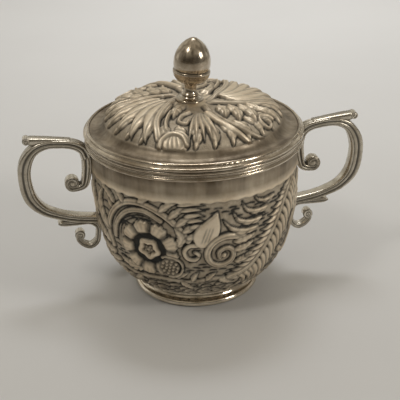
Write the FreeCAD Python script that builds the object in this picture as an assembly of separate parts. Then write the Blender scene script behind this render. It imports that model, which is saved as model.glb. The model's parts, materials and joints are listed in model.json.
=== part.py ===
"""Covered silver sugar bowl: a raised bowl on a collet foot, two scroll handles and a lift-off lid.

Millimetres, +Z up.  The origin is at the centre of the foot, on the surface that it stands on.
+X points to the right-hand handle and -Y is the front.
"""
import FreeCAD, Part
import math
import os

# ---- Bowl ------------------------------------------------------------------------------
BOWL_RADIUS = 42.6        # outside radius of the upright upper wall
BOWL_LIP = 69.2           # height of the lip above the table
BOWL_WALL = 1.0
FLANK_TOP = 46.5          # height where the wall stops leaning and stands upright
FLANK_RADIUS = 77.4       # long arc below that height
FLANK_SWEEP = 19.6        # degrees of that arc
CORNER_RADIUS = 26.0      # round arc from the flank to the flat middle of the floor
LIP_ROUNDING = 0.3

# ---- Applied moulding round the bowl's lip ---------------------------------------------
RIM_HEIGHT = 3.8
RIM_DEPTH = 2.2

# ---- Foot ------------------------------------------------------------------------------
FOOT_RADIUS = 26.5
FOOT_WIRE_HEIGHT = 2.8
FOOT_WIRE_DEPTH = 3.0
NECK_INSET = 2.6          # how far the collet's neck stands in from the foot's outer edge
COLLET_WALL = 1.0

# ---- Lid -------------------------------------------------------------------------------
SEAT_GAP = 0.15           # between the bowl's lip and the lid's moulding
LID_OVERHANG = 0.2        # how far the lid's moulding stands out past the bowl's
LID_RIM_HEIGHT = 2.95
LID_RIM_DEPTH = 2.4
LID_WALL = 0.9
FLANGE_HEIGHT = 2.3       # top of the lid's flange above the underside of its moulding
FLANGE_WIDTH = 1.15       # flat between the hollow moulding and the lid's moulding
CROWN_RADIUS = 204.0      # of the crown's shallow curve, seen from the side
SHOULDER_RADIUS = 9.8
SHOULDER_END = 68.0       # degrees from the vertical where the shoulder meets the hollow
HOLLOW_RADIUS = 4.4       # the plain hollow moulding round the dome
HOLLOW_END = 15.0         # degrees past its lowest point
BEZEL_CLEARANCE = 0.35    # radial, inside the bowl's mouth
BEZEL_WALL = 0.9
BEZEL_DEPTH = 5.0         # below the bowl's lip

# ---- Finial ----------------------------------------------------------------------------
COLLAR_RADIUS = 5.85
COLLAR_HEIGHT = 1.6
STEM_RADIUS = 2.4
STEM_RING_RADIUS = 3.4
STEM_HEIGHT = 5.4
CUP_RADIUS = 7.6
CUP_HEIGHT = 5.4
NUT_RADIUS = 7.4          # the acorn's nut, not the fastener
NUT_HEIGHT = 13.2
STUD_RADIUS = 1.5
STUD_IN_STEM = 3.0        # length soldered into the stem
STUD_HOLE_CLEARANCE = 0.25
WASHER_RADIUS = 4.0
WASHER_THICKNESS = 0.8
FIXING_NUT_ACROSS = 5.5
FIXING_NUT_HEIGHT = 2.4
STUD_PROUD = 0.8          # thread showing past the fixing nut

# ---- Handles ---------------------------------------------------------------------------
HANDLE_REACH = 27.2       # from the bowl's wall to the strap's centre line at its widest
HANDLE_DROP = 36.3        # from the bowl's lip to the lower arm's centre line at the wall
STRAP_WIDTH = 5.2         # across the handle
STRAP_HALF = 1.7          # half the strap's thickness along its arms
STRAP_SWELL = 0.9         # how much that half grows at the outside of the handle
VOLUTE_WIDTH = 4.6
VOLUTE_HALF = 2.1         # half the thickness of the strap that runs down the wall
VOLUTE_RADIUS = 3.7       # the rounded end of the upper curl
VOLUTE_DROP = 19.0        # from the lip to the middle of that curl
VOLUTE_OUT = 8.1          # from the wall to the middle of that curl
SPUR_WIDTH = 4.4
SPUR_TIP = 2.2            # height of the thumb rest's tip above the lip
TAIL_WIDTH = 4.2
TAIL_HALF = 1.1
TAIL_LENGTH = 12.6        # from the lower arm down to the lowest turn of the tail
TAIL_OUT = 8.6            # from the wall, where the tail leaves it, to the middle of its bead
BEAD_RADIUS = 2.1
SINK = 0.3                # how far a blank reaches into a wall before it is cut to it

UP = FreeCAD.Vector(0, 0, 1)
ORIGIN = FreeCAD.Vector(0, 0, 0)


# ---- Drawing helpers -------------------------------------------------------------------
def spot(radius, height):
    """Point in the XZ plane."""
    return FreeCAD.Vector(radius, 0, height)


def around(centre, radius, degrees):
    """Point on a circle in the XZ plane; 0 degrees points outward and 90 degrees up."""
    angle = math.radians(degrees)
    return (centre[0] + radius * math.cos(angle), centre[1] + radius * math.sin(angle))


def outline(start, *steps):
    """Closed face in the XZ plane.

    A step (x, z) is a straight side; a step ((x, z), (x, z)) is an arc's middle and end.
    """
    edges = []
    here = start
    for step in steps + (start,):
        if isinstance(step[0], tuple):
            middle, end = step
            edges.append(Part.Arc(spot(*here), spot(*middle), spot(*end)).toShape())
        else:
            end = step
            if math.dist(here, end) > 1e-6:
                edges.append(Part.makeLine(spot(*here), spot(*end)))
        here = end
    return Part.Face(Part.Wire(edges))


def turned(start, *steps):
    """Solid made by turning a closed outline about the Z axis."""
    return outline(start, *steps).revolve(ORIGIN, UP, 360)


def ring(inner, outer, low, high):
    return turned((inner, low), (outer, low), (outer, high), (inner, high))


def disc(radius, low, high):
    return Part.makeCylinder(radius, high - low, FreeCAD.Vector(0, 0, low), UP)


# ---- Bowl's outline --------------------------------------------------------------------
FLANK_CENTRE = (BOWL_RADIUS - FLANK_RADIUS, FLANK_TOP)
CORNER_CENTRE = around(FLANK_CENTRE, FLANK_RADIUS - CORNER_RADIUS, -FLANK_SWEEP)
CORNER_TOP = around(CORNER_CENTRE, CORNER_RADIUS, -FLANK_SWEEP)[1]


def bowl_body(inset, top):
    """Everything inside the bowl's outer surface, moved inward by inset."""
    flank = FLANK_RADIUS - inset
    corner = CORNER_RADIUS - inset
    floor = around(CORNER_CENTRE, corner, -90)
    return turned(
        (0, top),
        (0, floor[1]),
        floor,
        (around(CORNER_CENTRE, corner, -(90 + FLANK_SWEEP) / 2), around(CORNER_CENTRE, corner, -FLANK_SWEEP)),
        (around(FLANK_CENTRE, flank, -FLANK_SWEEP / 2), around(FLANK_CENTRE, flank, 0)),
        (BOWL_RADIUS - inset, top),
    )


def wall_radius(height):
    """Outside radius of the bowl at a height."""
    if height >= FLANK_TOP:
        return BOWL_RADIUS
    centre, radius = FLANK_CENTRE, FLANK_RADIUS
    if height < CORNER_TOP:
        centre, radius = CORNER_CENTRE, CORNER_RADIUS
    return centre[0] + math.sqrt(max(radius ** 2 - (height - centre[1]) ** 2, 0))


def underside(radius):
    """Height of the bowl's outer surface at a radius, below the flank."""
    out = max(radius - CORNER_CENTRE[0], 0)
    return CORNER_CENTRE[1] - math.sqrt(CORNER_RADIUS ** 2 - out ** 2)


# ---- Bowl and foot ---------------------------------------------------------------------
def bowl_shell():
    shell = bowl_body(0, BOWL_LIP).cut(bowl_body(BOWL_WALL, BOWL_LIP + BOWL_WALL))
    lip_edges = [edge for edge in shell.Edges if edge.BoundBox.ZMin > BOWL_LIP - LIP_ROUNDING]
    return shell.makeFillet(LIP_ROUNDING, lip_edges)


def bowl_rim_moulding():
    """Two beads with a hollow between them, applied round the lip."""
    inner = BOWL_RADIUS
    outer = inner + RIM_DEPTH
    low = BOWL_LIP - RIM_HEIGHT
    lower_bead = 0.34 * RIM_HEIGHT
    upper_bead = 0.68 * RIM_HEIGHT
    return turned(
        (inner, low),
        (outer - 0.25 * RIM_DEPTH, low),
        ((outer, low + lower_bead / 2), (outer - 0.25 * RIM_DEPTH, low + lower_bead)),
        ((outer - 0.45 * RIM_DEPTH, (2 * low + lower_bead + upper_bead) / 2),
         (outer - 0.25 * RIM_DEPTH, low + upper_bead)),
        ((outer - 0.04 * RIM_DEPTH, (low + upper_bead + BOWL_LIP) / 2),
         (outer - 0.25 * RIM_DEPTH, BOWL_LIP)),
        (inner, BOWL_LIP),
    )


def foot_base_wire():
    inner = FOOT_RADIUS - FOOT_WIRE_DEPTH
    return turned(
        (inner, 0),
        (FOOT_RADIUS - 0.4 * FOOT_WIRE_DEPTH, 0),
        ((FOOT_RADIUS, 0.5 * FOOT_WIRE_HEIGHT),
         (FOOT_RADIUS - 0.35 * FOOT_WIRE_DEPTH, FOOT_WIRE_HEIGHT)),
        (inner, FOOT_WIRE_HEIGHT),
    )


def foot_collet():
    """Hollow-sided collar from the base wire up to the bowl's underside, which trims it."""
    neck = FOOT_RADIUS - NECK_INSET
    spread = FOOT_RADIUS - 0.4 * FOOT_WIRE_DEPTH
    top = underside(neck) + COLLET_WALL
    hollow = ((neck + 0.25 * (spread - neck), FOOT_WIRE_HEIGHT + 0.3 * (top - FOOT_WIRE_HEIGHT)), (neck, top))
    inner = neck - COLLET_WALL
    blank = turned((inner, FOOT_WIRE_HEIGHT), (spread, FOOT_WIRE_HEIGHT), hollow, (inner, top))
    return blank.cut(bowl_body(0, BOWL_LIP))


# ---- Lid -------------------------------------------------------------------------------
LID_BASE = BOWL_LIP + SEAT_GAP
LID_RADIUS = BOWL_RADIUS + RIM_DEPTH + LID_OVERHANG
FLANGE_RADIUS = LID_RADIUS - LID_RIM_DEPTH
DOME_FOOT = (
    FLANGE_RADIUS
    - FLANGE_WIDTH
    - HOLLOW_RADIUS * (math.sin(math.radians(SHOULDER_END)) + math.sin(math.radians(HOLLOW_END)))
)                         # radius where the dome's shoulder meets the hollow
CROWN_EDGE = (
    (DOME_FOOT - SHOULDER_RADIUS * math.sin(math.radians(SHOULDER_END)))
    / (1 - SHOULDER_RADIUS / CROWN_RADIUS)
)                         # radius where the crown turns into the shoulder
CROWN_ANGLE = 90 - math.degrees(math.asin(CROWN_EDGE / CROWN_RADIUS))
DOME_RISE = (
    CROWN_RADIUS
    - (CROWN_RADIUS - SHOULDER_RADIUS) * math.sin(math.radians(CROWN_ANGLE))
    - (SHOULDER_RADIUS + HOLLOW_RADIUS) * math.cos(math.radians(SHOULDER_END))
    + HOLLOW_RADIUS * math.cos(math.radians(HOLLOW_END))
)                         # from the flange up to the middle of the crown
CROWN_TOP = LID_BASE + FLANGE_HEIGHT + DOME_RISE
CROWN_CENTRE = (0, CROWN_TOP - CROWN_RADIUS)
SHOULDER_CENTRE = around(CROWN_CENTRE, CROWN_RADIUS - SHOULDER_RADIUS, CROWN_ANGLE)
HOLLOW_CENTRE = around(SHOULDER_CENTRE, SHOULDER_RADIUS + HOLLOW_RADIUS, 90 - SHOULDER_END)


def under_lid(inset, base):
    """Everything under the lid's top surface, moved down by inset, above the height base."""
    crown = CROWN_RADIUS - inset
    shoulder = SHOULDER_RADIUS - inset
    hollow = HOLLOW_RADIUS + inset
    foot_angle = 90 - SHOULDER_END
    hollow_start = foot_angle - 180
    hollow_end = HOLLOW_END - 90
    flange = around(HOLLOW_CENTRE, hollow, hollow_end)
    return turned(
        (0, base),
        (FLANGE_RADIUS, base),
        (FLANGE_RADIUS, flange[1]),
        flange,
        (around(HOLLOW_CENTRE, hollow, (hollow_start + hollow_end) / 2),
         around(HOLLOW_CENTRE, hollow, hollow_start)),
        (around(SHOULDER_CENTRE, shoulder, (foot_angle + CROWN_ANGLE) / 2),
         around(SHOULDER_CENTRE, shoulder, CROWN_ANGLE)),
        (around(CROWN_CENTRE, crown, (CROWN_ANGLE + 90) / 2), around(CROWN_CENTRE, crown, 90)),
    )


def lid_dome():
    shell = under_lid(0, LID_BASE).cut(under_lid(LID_WALL, LID_BASE))
    return shell.cut(disc(STUD_RADIUS + STUD_HOLE_CLEARANCE, LID_BASE, CROWN_TOP + LID_WALL))


def lid_rim_moulding():
    """A heavy bead below a light one that stands a little above the flange inside it."""
    low = LID_BASE
    bead_top = low + 0.5 * LID_RIM_HEIGHT
    step = low + 0.62 * LID_RIM_HEIGHT
    top = low + LID_RIM_HEIGHT
    return turned(
        (FLANGE_RADIUS, low),
        (LID_RADIUS - 0.3 * LID_RIM_DEPTH, low),
        ((LID_RADIUS, (low + bead_top) / 2), (LID_RADIUS - 0.25 * LID_RIM_DEPTH, bead_top)),
        (LID_RADIUS - 0.5 * LID_RIM_DEPTH, step),
        ((LID_RADIUS - 0.52 * LID_RIM_DEPTH, (step + top) / 2), (LID_RADIUS - 0.78 * LID_RIM_DEPTH, top)),
        ((LID_RADIUS - 0.94 * LID_RIM_DEPTH, top - 0.06 * LID_RIM_HEIGHT),
         (FLANGE_RADIUS, low + FLANGE_HEIGHT)),
    )


def lid_bezel():
    """Upright ring under the lid that drops inside the bowl's mouth."""
    outer = BOWL_RADIUS - BOWL_WALL - BEZEL_CLEARANCE
    low = BOWL_LIP - BEZEL_DEPTH
    blank = ring(outer - BEZEL_WALL, outer, low, CROWN_TOP)
    return blank.common(under_lid(LID_WALL, low))


# ---- Finial ----------------------------------------------------------------------------
COLLAR_TOP = CROWN_TOP + COLLAR_HEIGHT
STEM_TOP = COLLAR_TOP + STEM_HEIGHT
CUP_TOP = STEM_TOP + CUP_HEIGHT
FINIAL_TOP = CUP_TOP + NUT_HEIGHT


def finial_collar():
    low = CROWN_TOP - LID_WALL
    edge = CROWN_TOP + 0.35 * COLLAR_HEIGHT
    blank = turned(
        (STUD_RADIUS, low),
        (COLLAR_RADIUS, low),
        (COLLAR_RADIUS, CROWN_TOP),
        ((COLLAR_RADIUS - 0.1 * COLLAR_HEIGHT, edge), (COLLAR_RADIUS - 0.5 * COLLAR_HEIGHT, edge + 0.1)),
        ((STEM_RING_RADIUS + 0.3 * COLLAR_HEIGHT, COLLAR_TOP - 0.4 * COLLAR_HEIGHT), (STEM_RING_RADIUS, COLLAR_TOP)),
        (STUD_RADIUS, COLLAR_TOP),
    )
    return blank.cut(under_lid(0, LID_BASE))


def finial_stem():
    """Ring, narrow waist and flare in one casting, bored for the stud."""
    ring_height = 0.22 * STEM_HEIGHT
    waist = COLLAR_TOP + 0.6 * STEM_HEIGHT
    shoulder = STEM_RING_RADIUS - 0.3
    blank = turned(
        (0, COLLAR_TOP),
        (shoulder, COLLAR_TOP),
        ((STEM_RING_RADIUS, COLLAR_TOP + ring_height / 2), (shoulder, COLLAR_TOP + ring_height)),
        ((STEM_RADIUS, waist), (shoulder, STEM_TOP)),
        (0, STEM_TOP),
    )
    return blank.cut(disc(STUD_RADIUS, COLLAR_TOP, COLLAR_TOP + STUD_IN_STEM))


def finial_acorn_cup():
    lip = CUP_TOP - 0.25 * CUP_HEIGHT
    start = STEM_RING_RADIUS - 0.3
    return turned(
        (0, STEM_TOP),
        (start, STEM_TOP),
        ((start + 0.66 * (CUP_RADIUS - start), STEM_TOP + 0.36 * (lip - STEM_TOP)), (CUP_RADIUS - 0.2, lip)),
        ((CUP_RADIUS, (lip + CUP_TOP) / 2), (CUP_RADIUS - 0.2, CUP_TOP)),
        (0, CUP_TOP),
    )


def finial_acorn_nut():
    """Egg-shaped nut with a small blunt tip."""
    widest = CUP_TOP + 0.24 * NUT_HEIGHT
    tip_side = FINIAL_TOP - 0.04 * NUT_HEIGHT
    return turned(
        (0, CUP_TOP),
        (0.93 * NUT_RADIUS, CUP_TOP),
        ((0.985 * NUT_RADIUS, CUP_TOP + 0.1 * NUT_HEIGHT), (NUT_RADIUS, widest)),
        ((0.69 * NUT_RADIUS, CUP_TOP + 0.70 * NUT_HEIGHT), (0.16 * NUT_RADIUS, tip_side)),
        (0, FINIAL_TOP),
    )


WASHER_TOP = CROWN_TOP - LID_WALL
WASHER_LOW = WASHER_TOP - WASHER_THICKNESS
FIXING_NUT_LOW = WASHER_LOW - FIXING_NUT_HEIGHT


def finial_stud():
    return disc(STUD_RADIUS, FIXING_NUT_LOW - STUD_PROUD, COLLAR_TOP + STUD_IN_STEM)


def finial_washer():
    blank = ring(STUD_RADIUS, WASHER_RADIUS, WASHER_LOW, WASHER_TOP)
    return blank.common(under_lid(LID_WALL, LID_BASE))


def finial_fixing_nut():
    corner = FIXING_NUT_ACROSS / math.sqrt(3)
    corners = [FreeCAD.Vector(corner * math.cos(math.radians(60 * i)), corner * math.sin(math.radians(60 * i)),
                              FIXING_NUT_LOW) for i in range(6)]
    hexagon = Part.Face(Part.makePolygon(corners + corners[:1]))
    return hexagon.extrude(UP * FIXING_NUT_HEIGHT).cut(disc(STUD_RADIUS, FIXING_NUT_LOW, WASHER_LOW))


# ---- Handles ---------------------------------------------------------------------------
def out_from_wall(out, drop):
    """Point at a distance outward from the upright wall and a drop below the lip."""
    return (BOWL_RADIUS + out, BOWL_LIP - drop)


def against_wall(out, height):
    """Point at a distance outward from the bowl's own surface at that height."""
    return (wall_radius(height) + out, height)


def strap(stations, width):
    """Flat strap along a smooth line in the XZ plane; a station is a point and a half-thickness."""
    line = Part.BSplineCurve()
    line.interpolate([spot(*centre) for centre, half in stations])
    left = []
    right = []
    for centre, half in stations:
        along = line.tangent(line.parameter(spot(*centre)))[0]
        across = FreeCAD.Vector(-along.z, 0, along.x) * half
        left.append(spot(*centre) + across)
        right.append(spot(*centre) - across)
    sides = []
    for points in (left, list(reversed(right))):
        side = Part.BSplineCurve()
        side.interpolate(points)
        sides.append(side.toShape())
    ends = [Part.makeLine(left[-1], right[-1]), Part.makeLine(right[0], left[0])]
    face = Part.Face(Part.Wire([sides[0], ends[0], sides[1], ends[1]]))
    face.translate(FreeCAD.Vector(0, -width / 2, 0))
    return face.extrude(FreeCAD.Vector(0, width, 0))


def roller(centre, radius, width):
    """Cylinder across the handle."""
    return Part.makeCylinder(radius, width, FreeCAD.Vector(centre[0], -width / 2, centre[1]),
                             FreeCAD.Vector(0, 1, 0))


def volute_start():
    """Where the main scroll ends against the wall and the upper curl takes over."""
    return out_from_wall(VOLUTE_HALF - SINK, 0.23 * HANDLE_DROP)


def main_scroll():
    """C-shaped strap from under the rim, out and down to the wall again."""
    half = STRAP_HALF
    fat = STRAP_HALF + STRAP_SWELL
    reach = HANDLE_REACH
    drop = HANDLE_DROP
    stations = [
        (volute_start(), VOLUTE_HALF),
        (out_from_wall(0.13 * reach, 0.12 * drop), half + 0.2),
        (out_from_wall(0.30 * reach, 0.055 * drop), half),
        (out_from_wall(0.62 * reach, 0.035 * drop), half),
        (out_from_wall(0.84 * reach, 0.10 * drop), half + 0.4 * STRAP_SWELL),
        (out_from_wall(0.97 * reach, 0.25 * drop), fat),
        (out_from_wall(reach, 0.44 * drop), fat),
        (out_from_wall(0.94 * reach, 0.67 * drop), fat),
        (out_from_wall(0.77 * reach, 0.825 * drop), half + 0.4 * STRAP_SWELL),
        (out_from_wall(0.54 * reach, 0.91 * drop), half),
        (out_from_wall(0.28 * reach, 0.965 * drop), half),
        (against_wall(-SINK, BOWL_LIP - drop), half),
    ]
    return strap(stations, STRAP_WIDTH).cut(bowl_body(0, BOWL_LIP)).cut(bowl_rim_moulding())


def upper_volute():
    """Strap down the wall from the main scroll's upper end, curling out to a rounded end."""
    start = volute_start()
    middle = out_from_wall(VOLUTE_OUT, VOLUTE_DROP)
    curl_half = 0.6 * VOLUTE_HALF
    bend = VOLUTE_RADIUS - curl_half
    stations = [
        (start, VOLUTE_HALF),
        ((start[0], 0.4 * start[1] + 0.6 * (middle[1] + VOLUTE_RADIUS)), VOLUTE_HALF),
        ((start[0] + 0.1 * VOLUTE_OUT, middle[1] + 0.3 * VOLUTE_RADIUS), 0.9 * VOLUTE_HALF),
        ((middle[0] - 0.5 * VOLUTE_OUT, middle[1] - 0.6 * bend), 0.8 * VOLUTE_HALF),
        ((middle[0], middle[1] - bend), curl_half),
    ]
    curl = strap(stations, VOLUTE_WIDTH).fuse(roller(middle, VOLUTE_RADIUS, VOLUTE_WIDTH))
    return curl.cut(bowl_body(0, BOWL_LIP)).cut(main_scroll())


def thumb_spur():
    """Flat thumb rest on top of the main scroll, running out to a point."""
    reach = HANDLE_REACH
    tip = out_from_wall(0.94 * reach, -SPUR_TIP)
    root = out_from_wall(0.3 * reach, 0)
    face = outline(
        out_from_wall(0.3 * reach, STRAP_HALF),
        root,
        ((0.5 * (root[0] + tip[0]), 0.5 * (root[1] + tip[1]) + 0.015 * reach), tip),
        (tip[0], tip[1] - 0.85 * SPUR_TIP),
        out_from_wall(0.86 * reach, 0.10 * HANDLE_DROP),
        out_from_wall(0.6 * reach, 0.04 * HANDLE_DROP),
    )
    face.translate(FreeCAD.Vector(0, -SPUR_WIDTH / 2, 0))
    return face.extrude(FreeCAD.Vector(0, SPUR_WIDTH, 0)).cut(main_scroll())


def tail_scroll():
    """Pointed leaf under the lower arm that runs in to the wall, hangs from it and curls out."""
    arm = BOWL_LIP - HANDLE_DROP - 0.45 * STRAP_HALF
    leaf = BOWL_LIP - arm
    leave = arm - 0.22 * TAIL_LENGTH
    low = BOWL_LIP - HANDLE_DROP - TAIL_LENGTH
    wall = wall_radius(leave)
    middle = (wall + TAIL_OUT, low + 0.46 * TAIL_LENGTH)
    stations = [
        (out_from_wall(0.555 * HANDLE_REACH, leaf), 0.6 * TAIL_HALF),
        (out_from_wall(0.35 * HANDLE_REACH, leaf), TAIL_HALF),
        (out_from_wall(0.12 * HANDLE_REACH, leaf), TAIL_HALF),
        (against_wall(2.0 * TAIL_HALF, arm - 0.06 * TAIL_LENGTH), TAIL_HALF),
        (against_wall(0.8 * TAIL_HALF, leave), TAIL_HALF),
        ((wall + 0.8 * TAIL_HALF, low + 0.44 * TAIL_LENGTH), TAIL_HALF),
        ((wall + 0.2 * TAIL_OUT, low + 0.17 * TAIL_LENGTH), TAIL_HALF),
        ((wall + 0.5 * TAIL_OUT, low + 0.02 * TAIL_LENGTH), TAIL_HALF),
        ((wall + 0.85 * TAIL_OUT, low + 0.1 * TAIL_LENGTH), 0.9 * TAIL_HALF),
        ((middle[0] + 0.05 * TAIL_OUT, middle[1] - 0.15 * TAIL_LENGTH), 0.8 * TAIL_HALF),
        (middle, 0.6 * TAIL_HALF),
    ]
    curl = strap(stations, TAIL_WIDTH).fuse(roller(middle, BEAD_RADIUS, TAIL_WIDTH))
    return curl.cut(bowl_body(0, BOWL_LIP)).cut(main_scroll())


def other_side(shape):
    """The same piece on the left-hand handle."""
    turned_round = shape.copy()
    turned_round.rotate(ORIGIN, UP, 180)
    return turned_round


# ---- Write one file for each piece -----------------------------------------------------
PIECES = {
    "bowl_shell": bowl_shell(),
    "bowl_rim_moulding": bowl_rim_moulding(),
    "foot_base_wire": foot_base_wire(),
    "foot_collet": foot_collet(),
    "lid_dome": lid_dome(),
    "lid_rim_moulding": lid_rim_moulding(),
    "lid_bezel": lid_bezel(),
    "finial_collar": finial_collar(),
    "finial_stem": finial_stem(),
    "finial_acorn_cup": finial_acorn_cup(),
    "finial_acorn_nut": finial_acorn_nut(),
    "finial_stud": finial_stud(),
    "finial_washer": finial_washer(),
    "finial_fixing_nut": finial_fixing_nut(),
}
for make in (main_scroll, upper_volute, thumb_spur, tail_scroll):
    right_hand = make()
    PIECES["handle_right_" + make.__name__] = right_hand
    PIECES["handle_left_" + make.__name__] = other_side(right_hand)

os.makedirs("parts", exist_ok=True)
for node, shape in PIECES.items():
    if len(shape.Solids) != 1 or not shape.isValid():
        raise ValueError(node + " is not one valid solid")
    shape.Solids[0].exportStep("parts/" + node + ".step")
    print(node, round(shape.Volume, 2), "mm3")
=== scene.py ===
import json
import math
import random

import bpy
import numpy as np
from mathutils import Matrix, Vector

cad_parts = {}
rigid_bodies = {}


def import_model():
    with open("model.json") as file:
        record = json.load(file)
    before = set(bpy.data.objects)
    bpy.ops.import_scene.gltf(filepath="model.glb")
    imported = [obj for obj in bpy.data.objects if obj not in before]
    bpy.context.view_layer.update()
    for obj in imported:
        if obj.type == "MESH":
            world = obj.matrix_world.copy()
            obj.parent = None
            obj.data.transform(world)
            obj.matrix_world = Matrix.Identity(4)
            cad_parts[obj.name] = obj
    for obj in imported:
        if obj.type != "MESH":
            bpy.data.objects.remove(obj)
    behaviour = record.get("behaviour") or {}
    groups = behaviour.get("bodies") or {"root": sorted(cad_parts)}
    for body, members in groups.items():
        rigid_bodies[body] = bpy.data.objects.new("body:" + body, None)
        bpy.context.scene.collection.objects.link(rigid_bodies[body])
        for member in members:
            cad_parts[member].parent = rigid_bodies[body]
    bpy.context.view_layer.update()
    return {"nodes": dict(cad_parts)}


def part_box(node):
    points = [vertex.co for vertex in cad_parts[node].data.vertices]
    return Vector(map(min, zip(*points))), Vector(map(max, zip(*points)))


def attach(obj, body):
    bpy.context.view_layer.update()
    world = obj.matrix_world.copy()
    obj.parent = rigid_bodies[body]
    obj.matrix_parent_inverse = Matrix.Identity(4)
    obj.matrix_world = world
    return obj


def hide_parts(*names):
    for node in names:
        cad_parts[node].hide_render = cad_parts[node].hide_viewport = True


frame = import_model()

MM = 0.001
random.seed(7)


# ---- Sizes in millimetres, the ends of the shells read from the CAD model ----
def box_mm(node):
    """Lowest and highest corners of a CAD node."""
    low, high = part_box(node)
    return Vector(low) / MM, Vector(high) / MM


bowl_low, bowl_high = box_mm("bowl_shell")
lid_high = box_mm("lid_dome")[1]

BOWL_RADIUS = 42.6
BOWL_LIP = bowl_high.z
BOWL_FLOOR = bowl_low.z
BOWL_WALL = 1.0
FLANK_TOP = 46.5          # height where the wall starts to lean in
FLANK_RADIUS = 77.4
FLANK_SWEEP = math.radians(19.6)
CORNER_RADIUS = 26.0
CROWN_TOP = lid_high.z
LID_WALL = 0.9
FLANGE_WIDTH = 1.15       # flat between the hollow moulding and the lid's moulding
CROWN_RADIUS = 204.0      # of the crown's shallow curve
SHOULDER_RADIUS = 9.8
SHOULDER_END = math.radians(68.0)
HOLLOW_RADIUS = 4.4
HOLLOW_END = math.radians(15.0)
FLANGE_RADIUS = lid_high.x
COARSE_SHARE = 4          # columns of a chased shell to one where it is plain


# ---- Mesh helpers ----
def add_object(name, data):
    made = bpy.data.objects.new(name, data)
    bpy.context.scene.collection.objects.link(made)
    return made


def make_piece(name, points_mm, faces, body, nodes):
    """Smooth mesh from points in millimetres, riding on a body and standing for CAD nodes."""
    mesh = bpy.data.meshes.new(name)
    points = np.asarray(points_mm, dtype=float) * MM
    mesh.from_pydata(points.tolist(), [], faces)
    mesh.update()
    mesh.polygons.foreach_set("use_smooth", [True] * len(mesh.polygons))
    piece = add_object(name, mesh)
    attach(piece, body)
    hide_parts(*nodes)
    return piece


def add_attribute(piece, name, values):
    """Gives the first points their values, and 0 to those after them."""
    padded = np.zeros(len(piece.data.vertices), dtype=np.float32)
    padded[:len(values)] = values
    piece.data.attributes.new(name, "FLOAT", "POINT").data.foreach_set("value", padded)


def join_rings(first, second, count):
    """Quads between two closed rings of the same count; rings are first vertex numbers."""
    return [(first + i, first + (i + 1) % count, second + (i + 1) % count, second + i) for i in range(count)]


def join_fan(fine, coarse, fine_count, share):
    """Faces from a fine ring to a ring with fine_count / share vertices."""
    faces = []
    coarse_count = fine_count // share
    for j in range(coarse_count):
        here, after = coarse + j, coarse + (j + 1) % coarse_count
        half = share // 2
        for k in range(share):
            a = fine + j * share + k
            b = fine + (j * share + k + 1) % fine_count
            faces.append((a, b, here if k < half else after))
        middle = fine + j * share + half
        faces.append((middle, after, here))
    return faces


def flip(faces):
    return [tuple(reversed(face)) for face in faces]


def tube_faces(rings, count):
    """Faces of a tube of rings, with a flat one at each end."""
    faces = []
    for k in range(rings - 1):
        faces += join_rings(k * count, (k + 1) * count, count)
    faces.append(tuple(reversed(range(count))))
    faces.append(tuple((rings - 1) * count + i for i in range(count)))
    return faces


def ring_points(ways, radius, height):
    """Ring about the axis, with a point in each of the directions in ways."""
    radius = np.broadcast_to(radius, len(ways))
    return np.column_stack([radius * ways[:, 0], radius * ways[:, 1], np.broadcast_to(height, len(ways))])


def close_with_rings(points, faces, fine_ring, ways, profile, middle_height, turned_over=False):
    """Adds coarser rings from a fine ring to a point on the axis, one for each spot of the profile."""
    coarse = len(ways)
    start = sum(len(part) for part in points)
    added = join_fan(fine_ring, start, coarse * COARSE_SHARE, COARSE_SHARE)
    for k, (radius, height) in enumerate(profile):
        points.append(ring_points(ways, radius, height))
        if k:
            added += join_rings(start + (k - 1) * coarse, start + k * coarse, coarse)
    last = start + (len(profile) - 1) * coarse
    points.append(np.array([[0, 0, middle_height]]))
    added += [(last + i, last + (i + 1) % coarse, last + coarse) for i in range(coarse)]
    faces += flip(added) if turned_over else added


# ---- Relief: a height field that the chasing is drawn on ----
def smooth_step(x):
    x = np.clip(x, 0.0, 1.0)
    return x * x * (3 - 2 * x)


def curve_points(corners, count=24):
    """Points along a Catmull-Rom curve through the corners."""
    p = np.asarray(corners, dtype=float)
    if len(p) == 2:
        t = np.linspace(0, 1, count)[:, None]
        return p[0] * (1 - t) + p[1] * t
    padded = np.vstack([2 * p[0] - p[1], p, 2 * p[-1] - p[-2]])
    result = []
    spans = len(p) - 1
    for t in np.linspace(0, spans, count):
        k = min(int(t), spans - 1)
        f = t - k
        a, b, c, d = padded[k:k + 4]
        result.append(0.5 * (2 * b + (c - a) * f + (2 * a - 5 * b + 4 * c - d) * f ** 2
                             + (3 * b - a - 3 * c + d) * f ** 3))
    return np.array(result)


def spiral(centre, start_radius, end_radius, start, turns, count=14):
    """Corners of a spiral; start is in degrees and turns may be negative."""
    corners = []
    for t in np.linspace(0, 1, count):
        angle = math.radians(start + 360 * turns * t)
        radius = start_radius + (end_radius - start_radius) * t
        corners.append((centre[0] + radius * math.cos(angle), centre[1] + radius * math.sin(angle)))
    return corners


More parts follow.
